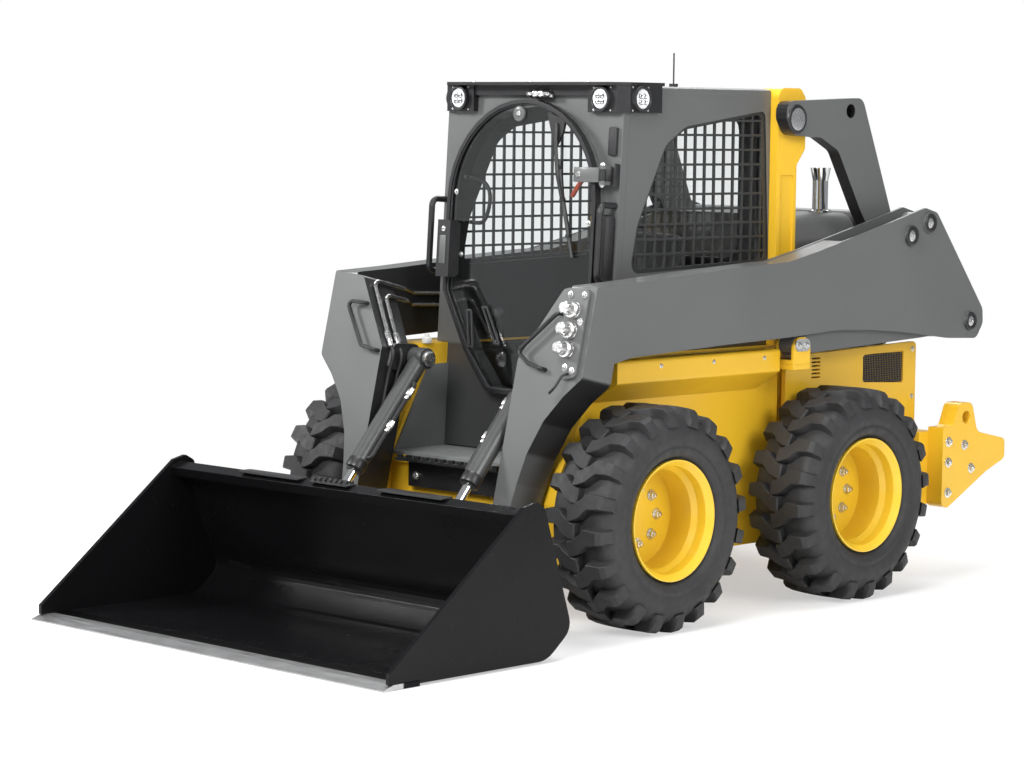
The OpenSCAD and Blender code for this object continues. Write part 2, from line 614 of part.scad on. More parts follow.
// Hoops that guard the arms' front faces, each bent for its own arm, as [y, height] on the leg
left_hoop = [[545, -105], [378, -258], [440, -296], [506, -312]];
right_hoop = [[-477, -120], [-566, -118], [-446, -286], [-374, -297]];
hoop_out = 28;
module hoop(p) tube(bent([[seat_gap, p[0][0], p[0][1]], for (q = p) [hoop_out, q[0], q[1]],
    [seat_gap, p[3][0], p[3][1]]], 16), 16);
module guard_hoops() color(black) on_ground() on_leg() {
    hoop(left_hoop);
    hoop(right_hoop);
}

// Auxiliary coupler plate with its three couplers, on the left arm
module coupler_block() color(steel) on_ground() on_leg() {
    along_x(seat_gap, 14) polygon(rounded([[560, -10, 20], [668, -10, 20], [668, -330, 20],
        [600, -345, 20], [560, -250, 20]]));
    for (z = [-90, -165, -235]) translate([13, 612, z]) rotate([0, 90, 0])
        rotate_extrude() polygon([[0, 0], [28, 0], [28, 22], [22, 26], [22, 58], [17, 62], [0, 62]]);
}

// Hard tubes along the right arm's inner edge
tube_d = 17;
tube_y = -arm_in + tube_d / 2 + seat_gap;
// Point of a leg's own frame, from the wheelbase's middle
function leg_point(x, y, z) = [leg_x + x * cos(leg_lean) - z * sin(leg_lean), y,
    leg_z + x * sin(leg_lean) + z * cos(leg_lean)];
module hydraulic_tubes() color(steel) on_ground() for (k = [0, 1])
    let (x = -40 - 45 * k, y = -511 + 29 * k, z = -23 - 46 * k)
    tube(bent([leg_point(-620, tube_y, z + 60), leg_point(-300, tube_y, z), leg_point(-205, y, z),
        leg_point(x, y, z), leg_point(x, -386, -221)], 30), tube_d);

// Lift cylinders
lift_len = norm(lift_eye - lift_base);
lift_gland = lift_len - 95;
lift_tail = 130;
module lift_barrels() color(dark) on_ground() both_sides() from_to(lift_base, lift_eye, lift_y)
    difference() {
    union() {
        rotate([90, 0, 0]) cylinder(d = lift_barrel_d + 16, h = lift_barrel_d - 4, center = true);
        translate([20, 0, 0]) rotate([0, 90, 0]) cylinder(d = lift_barrel_d, h = lift_gland - 20);
    }
    rotate([90, 0, 0]) cylinder(d = link_pin_d - 10 + 2 * fit, h = 2 * lift_barrel_d, center = true);
    translate([lift_tail - 60, 0, 0]) rotate([0, 90, 0]) cylinder(d = lift_rod_d + 2 * fit, h = lift_len);
}
module lift_rods() color(steel) on_ground() both_sides() from_to(lift_base, lift_eye, lift_y) difference() {
    union() {
        translate([lift_tail, 0, 0]) rotate([0, 90, 0])
            cylinder(d = lift_rod_d, h = lift_len - lift_tail - 20);
        translate([lift_len, 0, 0]) rotate([90, 0, 0]) cylinder(d = 84, h = lift_barrel_d - 8, center = true);
    }
    translate([lift_len, 0, 0]) rotate([90, 0, 0]) cylinder(d = 40, h = 100, center = true);
}

// Tilt cylinders
tilt_len = norm(tilt_eye - tilt_base);
tilt_gland = 530;
tilt_tail = 165;
module tilt_barrels() color(grey) on_ground() both_sides() from_to(tilt_base, tilt_eye, tilt_y)
    difference() {
    union() {
        rotate([90, 0, 0]) cylinder(d = tilt_barrel_d + 10, h = tilt_barrel_d - 2, center = true);
        translate([20, 0, 0]) rotate([0, 90, 0]) cylinder(d = tilt_barrel_d, h = tilt_gland - 20);
    }
    rotate([90, 0, 0]) cylinder(d = 40 + 2 * fit, h = 2 * tilt_barrel_d, center = true);
    translate([tilt_tail - 110, 0, 0]) rotate([0, 90, 0]) cylinder(d = tilt_rod_d + 2 * fit, h = tilt_len);
}
module tilt_rods() color(steel) on_ground() both_sides() from_to(tilt_base, tilt_eye, tilt_y) difference() {
    union() {
        translate([tilt_tail, 0, 0]) rotate([0, 90, 0])
            cylinder(d = tilt_rod_d, h = tilt_len - tilt_tail - 20);
        translate([tilt_len, 0, 0]) rotate([90, 0, 0]) cylinder(d = 70, h = tilt_barrel_d - 6, center = true);
    }
    translate([tilt_len, 0, 0]) rotate([90, 0, 0]) cylinder(d = 34, h = 100, center = true);
}

// Quick attach: face plate and the ears that the arms and the tilt rods meet
back_low = [1212, 120];
back_high = [1372, 480];
back_dir = unit(back_high - back_low);
back_out = [-back_dir[1], back_dir[0]];
ear_line = [concat(back_low + back_dir * 20 + back_out * 10, 0),
    concat(back_high - back_dir * 10 + back_out * 10, 0),
    concat(tilt_eye + [20, 62], 40), concat(tilt_eye + [-56, 10], 40), concat(bucket_pin + [-66, 30], 50),
    concat(bucket_pin + [-20, -66], 50)];
module quick_attach() color(black) on_ground() {
    difference() {
        union() {
            both_sides() for (y = [tilt_y - tilt_barrel_d / 2 - side_gap - ear_t,
                leg_in - side_gap - ear_t, leg_out + side_gap])
                slab(y, y + ear_t) polygon(rounded(ear_line));
            slab(-560, 560) polygon([back_low + back_dir * 15 + back_out, back_high - back_dir * 5 + back_out,
                back_high - back_dir * 5 + back_out * 17, back_low + back_dir * 15 + back_out * 17]);
        }
        both_sides() bar(bucket_pin, 43, leg_in - 60, leg_out + 60);
    }
    both_sides() bar(bucket_pin, 44, leg_in - side_gap - ear_t, leg_out + side_gap + ear_t);
    both_sides() bar(bucket_pin, 70, leg_out + side_gap + ear_t - 1, leg_out + side_gap + ear_t + 12);
}

// Bucket shell: floor, rolled heel, back and side plates
half_w = bucket_w / 2 - 20;
edge_t = 6 + bucket_t;
floor_x = edge_x - edge_depth - seat_gap;
shell_line = [[floor_x, ground_gap + 6, 0], [1330, ground_gap + 6, 120],
    [back_low[0] - 6, back_low[1] - 12, 60], [back_high[0], back_high[1], 0],
    [back_high[0] + 24, back_high[1] + 56, 0]];
side_plate = [[edge_x - 30, ground_gap + edge_t + seat_gap, 0], [floor_x, ground_gap + edge_t + seat_gap, 0],
    [floor_x, ground_gap + 8, 0], [1330, ground_gap + 8, 120], [back_low[0] - 4, back_low[1] - 12, 60],
    [1350, 540, 20], [1390, 562, 12], [1448, 548, 12], [edge_x - 30, ground_gap + 52, 0]];
inner_line = [[edge_x - 20, ground_gap + 6 + bucket_t, 0], [1340, ground_gap + 6 + bucket_t, 110],
    [back_low[0] + 12, back_low[1] - 4, 50], [back_high[0] + bucket_t, back_high[1] - 4, 0],
    [back_high[0] + 24 + bucket_t, back_high[1] + 70, 0], [edge_x, 700, 0]];
module bucket() color(black) on_ground() {
    difference() {
        slab(-half_w, half_w) polygon(rounded([each shell_line, [floor_x, back_high[1] + 56, 0]]));
        slab(-half_w - 1, half_w + 1) polygon(rounded(inner_line));
    }
    both_sides() slab(half_w - 0.5, half_w + 16) polygon(rounded(side_plate));
    slab(-half_w, half_w) polygon([back_high + [bucket_t - 1, 0], back_high + [70, 4], back_high + [88, 40],
        back_high + [36, 58], back_high + [24 + bucket_t - 1, 52]]);
}
module cutting_edge() color(steel) on_ground() slab(-bucket_w / 2, bucket_w / 2)
    polygon([[edge_x, ground_gap], [edge_x, ground_gap + 3], [edge_x - 45, ground_gap + edge_t],
        [edge_x - edge_depth, ground_gap + edge_t], [edge_x - edge_depth, ground_gap]]);

// Wheels, drawn at the origin with their outer face towards +Y
bed_r = rim_d / 2 - 16;
rim_half = tyre_w / 2 - 18;
shaft_in = case_y + side_gap;
module wheel(x, y) on_ground() translate([x * wheelbase / 2, 0, axle_z])
    mirror([0, y < 0 ? 1 : 0, 0]) translate([0, wheel_y, 0]) children();
module turned() rotate([-90, 0, 0]) rotate_extrude() children();
disc_y = rim_half - dish_depth;
bowl_r = bed_r - 24;
module rim() color(yellow) {
    turned() polygon([[bed_r - 9, -rim_half], [rim_d / 2, -rim_half], [rim_d / 2, -rim_half + 12],
        [bed_r, -rim_half + 20], [bed_r, rim_half - 20], [rim_d / 2, rim_half - 12], [rim_d / 2, rim_half],
        [rim_d / 2 - 6, rim_half], [bed_r - 9, rim_half - 22], [bed_r - 9, rim_half - 60],
        [bowl_r, rim_half - 80], [bowl_r, disc_y - 20], [bed_r - 9, disc_y - 40]]);
    turned() polygon([[0, disc_y - 14], [bowl_r + 1, disc_y - 14], [bowl_r + 1, disc_y], [0, disc_y]]);
    turned() polygon([[0, shaft_in - wheel_y], [axle_d / 2, shaft_in - wheel_y], [axle_d / 2, disc_y - 40],
        [110, disc_y - 40], [110, disc_y - 13], [0, disc_y - 13]]);
}
carcass_r = tyre_d / 2 - lug_h;
half_tyre = tyre_w / 2;
tyre_sides = 24;
flat_gap = 1 / cos(180 / tyre_sides);
carcass_side = [[(bed_r + seat_gap) * flat_gap, rim_half - 20.5],
    [(rim_d / 2 + 2) * flat_gap, rim_half - 12.5], [bed_r + 80, half_tyre - 1],
    [carcass_r - 36, half_tyre - 4], [carcass_r, half_tyre - 34]];
carcass_back = [for (i = [len(carcass_side) - 1:-1:0]) [carcass_side[i][0], -carcass_side[i][1]]];
module carcass() turned() polygon(concat(carcass_side, carcass_back));
// Lug: a slanting bar with a chamfered shoulder, as corners of [angle, place across, drop]
lug_foot = [[-5, -0.02, 0], [0, -0.02, 0], [9, 0.96, 44], [1.6, 0.96, 44]];
lug_top = [[-4.4, 0.02, 0], [0, 0.02, 0], [8, 0.88, 16], [2.2, 0.88, 16]];
function lug_corner(p, r, s) = [(r - p[2]) * sin(p[0]), s * p[1] * half_tyre, (r - p[2]) * cos(p[0])];
module lug(s) hull() polyhedron(concat([for (p = lug_foot) lug_corner(p, carcass_r - 8, s)],
    [for (p = lug_top) lug_corner(p, tyre_d / 2, s)]),
    [[0, 1, 2, 3], [7, 6, 5, 4], [0, 4, 5, 1], [1, 5, 6, 2], [2, 6, 7, 3], [3, 7, 4, 0]]);
module tyre() color(rubber) {
    carcass($fn = tyre_sides);
    for (s = [-1, 1]) for (i = [0:lug_count - 1])
        rotate([0, 180 + (i + (s < 0 ? 0.5 : 0)) * 360 / lug_count, 0]) lug(s);
}
module rim_front_left() wheel(1, 1) rim();
module rim_front_right() wheel(1, -1) rim();
module rim_rear_left() wheel(-1, 1) rim();
module rim_rear_right() wheel(-1, -1) rim();
module tyre_front_left() wheel(1, 1) tyre();
module tyre_front_right() wheel(1, -1) tyre();
module tyre_rear_left() wheel(-1, 1) tyre();
module tyre_rear_right() wheel(-1, -1) tyre();

main_frame();
chaincases();
link_brackets();
uprights();
side_panels();
counterweights();
engine_block();
hood();
exhaust();
axle_housings();
front_step();
footwell();
cab_sides();
cab_front();
cab_rear();
rear_glass();
roof();
visor();
work_lamps();
side_screens();
seat();
controls();
antenna();
grab_handles();
rear_door();
rear_grille();
door_frame();
door_glass();
door_handle();
rear_link();
lower_links();
arm_left();
arm_right();
arm_cross_tube();
guard_hoops();
coupler_block();
hydraulic_tubes();
lift_barrels();
lift_rods();
quick_attach();
bucket();
cutting_edge();
tilt_barrels();
tilt_rods();
rim_front_left();
rim_front_right();
rim_rear_left();
rim_rear_right();
tyre_front_left();
tyre_front_right();
tyre_rear_left();
tyre_rear_right();
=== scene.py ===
import bmesh
import bpy
from math import cos, pi, radians, sin
from mathutils import Matrix, Vector


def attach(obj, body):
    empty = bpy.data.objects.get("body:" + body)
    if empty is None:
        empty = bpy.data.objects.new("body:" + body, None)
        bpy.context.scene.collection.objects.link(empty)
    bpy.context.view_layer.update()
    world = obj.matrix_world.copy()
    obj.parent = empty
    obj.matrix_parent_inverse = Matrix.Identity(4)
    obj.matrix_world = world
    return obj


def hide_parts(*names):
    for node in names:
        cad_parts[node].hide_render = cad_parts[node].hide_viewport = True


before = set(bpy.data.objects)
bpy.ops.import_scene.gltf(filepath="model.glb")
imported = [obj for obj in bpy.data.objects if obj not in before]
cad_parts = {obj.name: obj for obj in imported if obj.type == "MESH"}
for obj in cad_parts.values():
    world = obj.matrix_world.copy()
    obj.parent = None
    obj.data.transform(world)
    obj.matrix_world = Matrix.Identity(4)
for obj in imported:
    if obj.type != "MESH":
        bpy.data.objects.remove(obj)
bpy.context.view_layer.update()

# The machine's own measures, in metres; x is written from the wheelbase's middle, as in the part's source,
# and the frame's origin lies MID ahead of that. The door's front and the legs' front plates lean back.
MID = 0.202
WHEEL_X, WHEEL_Y, WHEEL_Z = 0.57, 0.712, 0.415
TYRE_R = 0.415
DISC_DEPTH = 0.0465
DOOR_LEAN = radians(3.4)
DOOR_AT = (0.564, 0.775)
LEG_LEAN = radians(13.1)
LEG_AT = (0.830, 1.262)
TILT_Y, TILT_CAP = 0.305, 0.257
DOOR_OUT = Vector((cos(DOOR_LEAN), 0, sin(DOOR_LEAN)))
DOOR_UP = Vector((-sin(DOOR_LEAN), 0, cos(DOOR_LEAN)))
LEG_OUT = Vector((cos(LEG_LEAN), 0, sin(LEG_LEAN)))
LEG_UP = Vector((-sin(LEG_LEAN), 0, cos(LEG_LEAN)))
LEFT, RIGHT, UP, AHEAD = (Vector(v) for v in ((0, 1, 0), (0, -1, 0), (0, 0, 1), (1, 0, 0)))


def at(x, y, z):
    """Point in the frame, from x along the machine, y to its left and z up."""
    return Vector((x - MID, y, z))


def on_door(x, y, z):
    """Point on the cab's leaning front: x out of the door, z up its plane."""
    return at(DOOR_AT[0], 0, DOOR_AT[1]) + DOOR_OUT * x + LEFT * y + DOOR_UP * z


def on_leg(x, y, z):
    """Point on the leaning front plate of an arm's leg."""
    return at(LEG_AT[0], 0, LEG_AT[1]) + LEG_OUT * x + LEFT * y + LEG_UP * z


# Camera at the photograph's place: where it stands, its yaw, pitch and roll, and its sensor and lens in mm
CAMERA_AT = (8.614, 7.818, 1.854)
CAMERA_TURN = (0.770, 0.089, 0.012)
SENSOR_WIDTH, FOCAL_LENGTH = 36.0, 104.12
FAR_CLIP = 200.0


def set_camera():
    yaw, pitch, roll = CAMERA_TURN
    ahead = Vector((-cos(yaw) * cos(pitch), -sin(yaw) * cos(pitch), -sin(pitch)))
    right = ahead.cross(UP).normalized()
    up = right.cross(ahead)
    tilted = (cos(roll) * right + sin(roll) * up, cos(roll) * up - sin(roll) * right, -ahead)
    lens = bpy.data.cameras.new("photo_view")
    lens.sensor_fit, lens.sensor_width, lens.lens = "HORIZONTAL", SENSOR_WIDTH, FOCAL_LENGTH
    lens.clip_end = FAR_CLIP
    camera = bpy.data.objects.new("photo_view", lens)
    camera.matrix_world = Matrix.Translation(at(*CAMERA_AT)) @ Matrix(tilted).transposed().to_4x4()
    bpy.context.collection.objects.link(camera)
    bpy.context.scene.camera = camera


# Shapes; a peg's edge is broken by this share of its radius or length
PEG_EDGE = 0.15
EDGE_STEPS = 2
PATH_STEPS = 6


def turn_to(axis):
    return UP.rotation_difference(Vector(axis)).to_matrix().to_4x4()


def peg(bm, base, axis, radius, length, sides):
    """Peg that stands on base along axis, with its tip's edge broken."""
    axis = Vector(axis).normalized()
    place = Matrix.Translation(Vector(base) + axis * length / 2) @ turn_to(axis)
    made = bmesh.ops.create_cone(bm, cap_ends=True, segments=sides, radius1=radius, radius2=radius,
                                 depth=length, matrix=place)
    top = Vector(base) + axis * length
    rim = {e for v in made["verts"] for e in v.link_edges
           if all(abs((w.co - top).dot(axis)) < 1e-5 for w in e.verts)}
    bmesh.ops.bevel(bm, geom=list(rim), offset=min(radius, length) * PEG_EDGE, segments=EDGE_STEPS,
                    profile=0.5, affect="EDGES", material=-1)


def block(bm, low, high, edge, turned=None):
    """Box between two corners with its edges rounded, in the frame given by turned."""
    low, high = Vector(low), Vector(high)
    size = high - low
    place = Matrix.Translation((low + high) / 2) @ Matrix.Diagonal((*size, 1))
    verts = bmesh.ops.create_cube(bm, size=1.0, matrix=place)["verts"]
    edges = list({e for v in verts for e in v.link_edges})
    out = bmesh.ops.bevel(bm, geom=edges, offset=min(edge, min(size) * 0.45), segments=EDGE_STEPS,
                          profile=0.5, affect="EDGES", material=-1)
    if turned is not None:
        shell = {v for f in out["faces"] for v in f.verts} | {v for v in verts if v.is_valid}
        bmesh.ops.transform(bm, matrix=turned, verts=list(shell))


def loft(bm, rings):
    """Skin through rings of points, drawn out edge by edge from the first, with both ends closed."""
    verts = [bm.verts.new(p) for p in rings[0]]
    edges = [bm.edges.new(pair) for pair in zip(verts, verts[1:] + verts[:1])]
    bm.faces.new(list(reversed(verts)))
    for ring in rings[1:]:
        pulled = bmesh.ops.extrude_edge_only(bm, edges=edges)["geom"]
        twins = {}
        for edge in (g for g in pulled if isinstance(g, bmesh.types.BMEdge)):
            for new in edge.verts:
                for step in new.link_edges:
                    old = step.other_vert(new)
                    if old in verts:
                        twins[old] = new
        verts = [twins[v] for v in verts]
        for vert, place in zip(verts, ring):
            vert.co = place
        edges = [bm.edges.get(pair) for pair in zip(verts, verts[1:] + verts[:1])]
    bm.faces.new(verts)


def lathe(bm, outline, base, axis, steps):
    """Turned piece: outline is [radius, height] from base along axis."""
    axis = Vector(axis).normalized()
    side = turn_to(axis) @ AHEAD
    verts = [bm.verts.new(Vector(base) + side * r + axis * h) for r, h in outline]
    edges = [bm.edges.new(pair) for pair in zip(verts, verts[1:])]
    bmesh.ops.spin(bm, geom=verts + edges, cent=base, axis=axis, angle=2 * pi, steps=steps, use_merge=True)


def pipe(bm, points, radius, sides):
    """Round pipe along smooth points."""
    points = [Vector(p) for p in points]
    rings, side = [], None
    for i, p in enumerate(points):
        run = (points[min(i + 1, len(points) - 1)] - points[max(i - 1, 0)]).normalized()
        start = side if side is not None else (UP if abs(run.z) < 0.9 else AHEAD)
        side = (start - run * start.dot(run)).normalized()
        over = run.cross(side)
        rings.append([p + radius * (cos(2 * pi * k / sides) * side + sin(2 * pi * k / sides) * over)
                      for k in range(sides)])
    loft(bm, rings)


def smooth_path(points):
    """Points of a flowing path through the given ones."""
    points = [Vector(p) for p in points]
    ends = [points[0] * 2 - points[1], *points, points[-1] * 2 - points[-2]]
    path = []
    for a, b, c, d in zip(ends, ends[1:], ends[2:], ends[3:]):
        for k in range(PATH_STEPS):
            t = k / PATH_STEPS
            path.append(0.5 * (2 * b + (c - a) * t + (2 * a - 5 * b + 4 * c - d) * t * t
                               + (3 * b - a - 3 * c + d) * t ** 3))
    return path + [points[-1]]


def hex_bolt(bm, base, axis, radius):
    """Washer, hexagon head and its stub."""
    axis = Vector(axis).normalized()
    peg(bm, base, axis, radius * 1.5, radius * 0.25, 20)
    peg(bm, Vector(base) + axis * radius * 0.25, axis, radius, radius * 0.7, 6)
    peg(bm, Vector(base) + axis * radius * 0.9, axis, radius * 0.5, radius * 0.35, 12)


def piece(name, bm, body, material, angle=35, replaced=()):
    """Finished piece: outward faces, soft shading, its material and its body."""
    bmesh.ops.remove_doubles(bm, verts=bm.verts, dist=1e-6)
    bmesh.ops.recalc_face_normals(bm, faces=bm.faces)
    mesh = bpy.data.meshes.new(name)
    bm.to_mesh(mesh)
    bm.free()
    mesh.shade_smooth()
    mesh.set_sharp_from_angle(angle=radians(angle))
    obj = bpy.data.objects.new(name, mesh)
    obj.data.materials.append(material)
    bpy.context.collection.objects.link(obj)
    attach(obj, body)
    if replaced:
        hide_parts(*replaced)
    return obj


# Materials; the edges of cut plate look broken by this radius, and enamel has this depth of orange peel
PLATE_EDGE = 0.003
PEEL = 0.0002
DUST = (0.36, 0.31, 0.24)
RUBBED = (0.045, 0.045, 0.046)


class Finish:
    """A Principled surface on the piece's own coordinates, built up node by node."""

    def __init__(self, name, roughness=0.5, metallic=0.0, coat=0.0, coat_roughness=0.1):
        self.material = bpy.data.materials.new(name)
        self.material.use_nodes = True
        self.nodes, self.links = self.material.node_tree.nodes, self.material.node_tree.links
        self.surface = self.nodes["Principled BSDF"]
        self.surface.inputs["Roughness"].default_value = roughness
        self.surface.inputs["Metallic"].default_value = metallic
        self.surface.inputs["Coat Weight"].default_value = coat
        self.surface.inputs["Coat Roughness"].default_value = coat_roughness
        own = self.nodes.new("ShaderNodeTexCoord")
        self.place, self.faces = own.outputs["Object"], own.outputs["Normal"]

    def add(self, kind, **values):
        node = self.nodes.new(kind)
        for key, value in values.items():
            setattr(node, key, value)
        return node

    def join(self, a, b):
        self.links.new(a, b)

    def stretched(self, scale):
        node = self.add("ShaderNodeMapping")
        node.inputs["Scale"].default_value = scale
        self.join(self.place, node.inputs["Vector"])
        return node.outputs["Vector"]

    def noise(self, scale, detail=3.0, roughness=0.55, place=None):
        node = self.add("ShaderNodeTexNoise")
        node.inputs["Scale"].default_value = scale
        node.inputs["Detail"].default_value = detail
        node.inputs["Roughness"].default_value = roughness
        self.join(place or self.place, node.inputs["Vector"])
        return node.outputs["Fac"]

    def between(self, value, low, high, to_low, to_high):
        node = self.add("ShaderNodeMapRange")
        for key, number in (("From Min", low), ("From Max", high), ("To Min", to_low), ("To Max", to_high)):
            node.inputs[key].default_value = number
        self.join(value, node.inputs["Value"])
        return node.outputs["Result"]

    def mix(self, factor, first, second):
        node = self.add("ShaderNodeMix", data_type="RGBA")
        self.join(factor, node.inputs["Factor"])
        for socket, colour in ((node.inputs["A"], first), (node.inputs["B"], second)):
            if isinstance(colour, tuple):
                socket.default_value = (*colour, 1.0)
            else:
                self.join(colour, socket)
        return node.outputs["Result"]

    def colour(self, source):
        if isinstance(source, tuple):
            self.surface.inputs["Base Color"].default_value = (*source, 1.0)
        else:
            self.join(source, self.surface.inputs["Base Color"])

    def rough(self, source):
        self.join(source, self.surface.inputs["Roughness"])

    def bump(self, height, distance, edge=None):
        """Fine relief, over edges that read as broken by the given radius."""
        node = self.add("ShaderNodeBump")
        node.inputs["Distance"].default_value = distance
        self.join(height, node.inputs["Height"])
        if edge is not None:
            broken = self.add("ShaderNodeBevel", samples=4)
            broken.inputs["Radius"].default_value = edge
            self.join(broken.outputs["Normal"], node.inputs["Normal"])
        self.join(node.outputs["Normal"], self.surface.inputs["Normal"])

    def split(self, vector):
        node = self.add("ShaderNodeSeparateXYZ")
        self.join(vector, node.inputs["Vector"])
        return node.outputs

    def height(self):
        return self.split(self.place)["Z"]

    def math(self, operation, first, second):
        node = self.add("ShaderNodeMath", operation=operation)
        for socket, value in zip(node.inputs, (first, second)):
            if isinstance(value, float):
                socket.default_value = value
            else:
                self.join(value, socket)
        return node.outputs["Value"]

    def facing_in(self, middle, weights):
        """One on faces that look back at a middle line or point, zero on those that look away."""
        from_middle = self.add("ShaderNodeVectorMath", operation="SUBTRACT")
        self.join(self.place, from_middle.inputs[0])
        from_middle.inputs[1].default_value = middle
        scaled = self.add("ShaderNodeVectorMath", operation="MULTIPLY")
        self.join(from_middle.outputs[0], scaled.inputs[0])
        scaled.inputs[1].default_value = weights
        facing = self.add("ShaderNodeVectorMath", operation="DOT_PRODUCT")
        self.join(scaled.outputs[0], facing.inputs[0])
        self.join(self.faces, facing.inputs[1])
        return self.between(facing.outputs["Value"], -0.06, -0.14, 0.0, 1.0)

    def facing_down(self):
        return self.between(self.split(self.faces)["Z"], -0.1, -0.45, 0.0, 1.0)


def sprayed_paint(name, light, deep, low=0.3, high=0.42, coat=0.25, inside=None):
    """Sprayed enamel: slow drift of tone, orange peel, a film of dust near the ground, and painted shade
    where an inside mask is given.
    """
    paint = Finish(name, coat=coat, coat_roughness=0.15)
    drift = paint.between(paint.noise(1.6, 2.0), 0.3, 0.7, 0.0, 1.0)
    body = paint.mix(drift, light, deep)
    # Painted shade: the faces that the inside mask picks turn toward black.
    if inside is not None:
        body = paint.mix(inside(paint), body, BLACK_PAINT_AND_SHADE)
    specks = paint.between(paint.noise(55.0, 5.0), 0.62, 0.8, 0.0, 0.25)
    dust = paint.math("MULTIPLY", specks, paint.between(paint.height(), 0.15, 0.7, 1.0, 0.0))
    paint.colour(paint.mix(dust, body, DUST))
    paint.rough(paint.between(paint.noise(9.0, 4.0), 0.3, 0.7, low, high))
    paint.bump(paint.noise(320.0, 2.0), PEEL, PLATE_EDGE)
    return paint.material


# Painted shade: inner faces are darkened toward black, those of the arms that look at the machine or down,
# those of the links that look ahead or down, and those in the cab. Under the cab's sill its grey is
# darkened in part.
# The cutting edge is worn bare ahead of EDGE_BARE.
BLACK_PAINT_AND_SHADE = (0.012, 0.012, 0.013)
CAB_MIDDLE = (-0.16, 0.0, 1.42)
SILL, SILL_SHADE = 0.99, 0.7
EDGE_BARE = 1.815


# Painted shade on the arms: faces that look in toward the machine's middle or down.
def arm_painted_shade(paint):
    return paint.math("MAXIMUM", paint.facing_in((0, 0, 0), (0, 1, 0)), paint.facing_down())


# Painted shade on the links: faces that look ahead or down.
def link_painted_shade(paint):
    ahead = paint.between(paint.split(paint.faces)["X"], 0.1, 0.3, 0.0, 1.0)
    return paint.math("MAXIMUM", ahead, paint.facing_down())


# Painted shade in the cab: faces that look in at its middle; its grey is also darkened in part under the
# sill.
def cab_painted_shade(paint):
    lower = paint.between(paint.height(), SILL, SILL - 0.01, 0.0, SILL_SHADE)
    return paint.math("MAXIMUM", paint.facing_in(CAB_MIDDLE, (1, 1, 1)), lower)


def scuffed_black(name, shade, low, high):
    """Black enamel rubbed by loads: long scratches and polished patches."""
    enamel = Finish(name)
    enamel.surface.inputs["Specular IOR Level"].default_value = 0.13
    scratch = enamel.noise(26.0, 6.0, 0.65, enamel.stretched((1.0, 0.12, 1.0)))
    rubbed = enamel.between(scratch, 0.62, 0.8, 0.0, 0.25)
    enamel.colour(enamel.mix(rubbed, shade, RUBBED))
    enamel.rough(enamel.between(enamel.noise(5.0, 5.0), 0.3, 0.7, low, high))
    enamel.bump(enamel.noise(180.0, 3.0), PEEL, PLATE_EDGE)
    return enamel.material


def moulded_plastic(name, shade, low=0.45, high=0.6):
    """Moulded plastic with a fine leathery grain."""
    plastic = Finish(name)
    plastic.colour(plastic.mix(plastic.noise(4.0), shade, tuple(c * 1.5 for c in shade)))
    plastic.rough(plastic.between(plastic.noise(30.0), 0.3, 0.7, low, high))
    cells = plastic.add("ShaderNodeTexVoronoi")
    cells.inputs["Scale"].default_value = 420.0
    plastic.join(plastic.place, cells.inputs["Vector"])
    plastic.bump(cells.outputs["Distance"], 0.0004)
    return plastic.material


def drawn_steel(name, light, dark, low, high, stretch=(1.0, 0.05, 1.0), bare_from=None):
    """Bare steel with fine drawn lines and darker patches, still black behind bare_from."""
    steel = Finish(name, metallic=1.0)
    lines = steel.noise(160.0, 4.0, 0.6, steel.stretched(stretch))
    patches = steel.between(steel.noise(12.0, 5.0), 0.35, 0.75, 0.0, 1.0)
    body = steel.mix(patches, light, dark)
    if bare_from is not None:
        behind = steel.between(steel.split(steel.place)["X"], bare_from, bare_from - 0.006, 0.0, 1.0)
        body = steel.mix(behind, body, BLACK_PAINT_AND_SHADE)
    steel.colour(body)
    steel.rough(steel.between(lines, 0.3, 0.7, low, high))
    steel.bump(lines, 0.0001)
    return steel.material


def tyre_rubber():
    """Carbon-black rubber with a dry bloom and a fine pebbled skin."""
    rubber = Finish("tyre_rubber")
    bloom = rubber.between(rubber.noise(7.0, 6.0, 0.6), 0.35, 0.75, 0.0, 1.0)
    rubber.colour(rubber.mix(bloom, (0.013, 0.013, 0.014), (0.024, 0.024, 0.025)))
    rubber.rough(rubber.between(rubber.noise(40.0, 4.0), 0.3, 0.7, 0.5, 0.7))
    rubber.bump(rubber.noise(380.0, 4.0), 0.0007)
    return rubber.material


def smoked_glass(name, tint, roughness):
    """Tinted pane with the faint ripple of toughened glass."""
    glass = Finish(name, roughness=roughness)
    glass.colour(tint)
    glass.surface.inputs["Transmission Weight"].default_value = 1.0
    glass.surface.inputs["IOR"].default_value = 1.45
    glass.bump(glass.noise(3.0, 1.0), 0.0004)
    return glass.material


def lamp_lens():
    """Clear lens with a pressed pattern of small domes."""
    lens = Finish("lamp_lens", roughness=0.08, coat=0.5, coat_roughness=0.03)
    cells = lens.add("ShaderNodeTexVoronoi")
    cells.inputs["Scale"].default_value = 90.0
    lens.join(lens.place, cells.inputs["Vector"])
    lens.colour(lens.mix(cells.outputs["Distance"], (0.92, 0.93, 0.94), (0.70, 0.72, 0.74)))
    lens.bump(cells.outputs["Distance"], 0.002)
    return lens.material


def seat_cloth():
    """Woven seat cover."""
    cloth = Finish("seat_cloth", roughness=0.85)
    cloth.surface.inputs["Sheen Weight"].default_value = 0.3
    weave = cloth.add("ShaderNodeTexWave", wave_type="BANDS", bands_direction="DIAGONAL")
    weave.inputs["Scale"].default_value = 180.0
    weave.inputs["Distortion"].default_value = 1.5
    cloth.join(cloth.place, weave.inputs["Vector"])
    cloth.colour(cloth.mix(weave.outputs["Fac"], (0.022, 0.022, 0.024), (0.055, 0.055, 0.058)))
    cloth.bump(weave.outputs["Fac"], 0.0012)
    return cloth.material


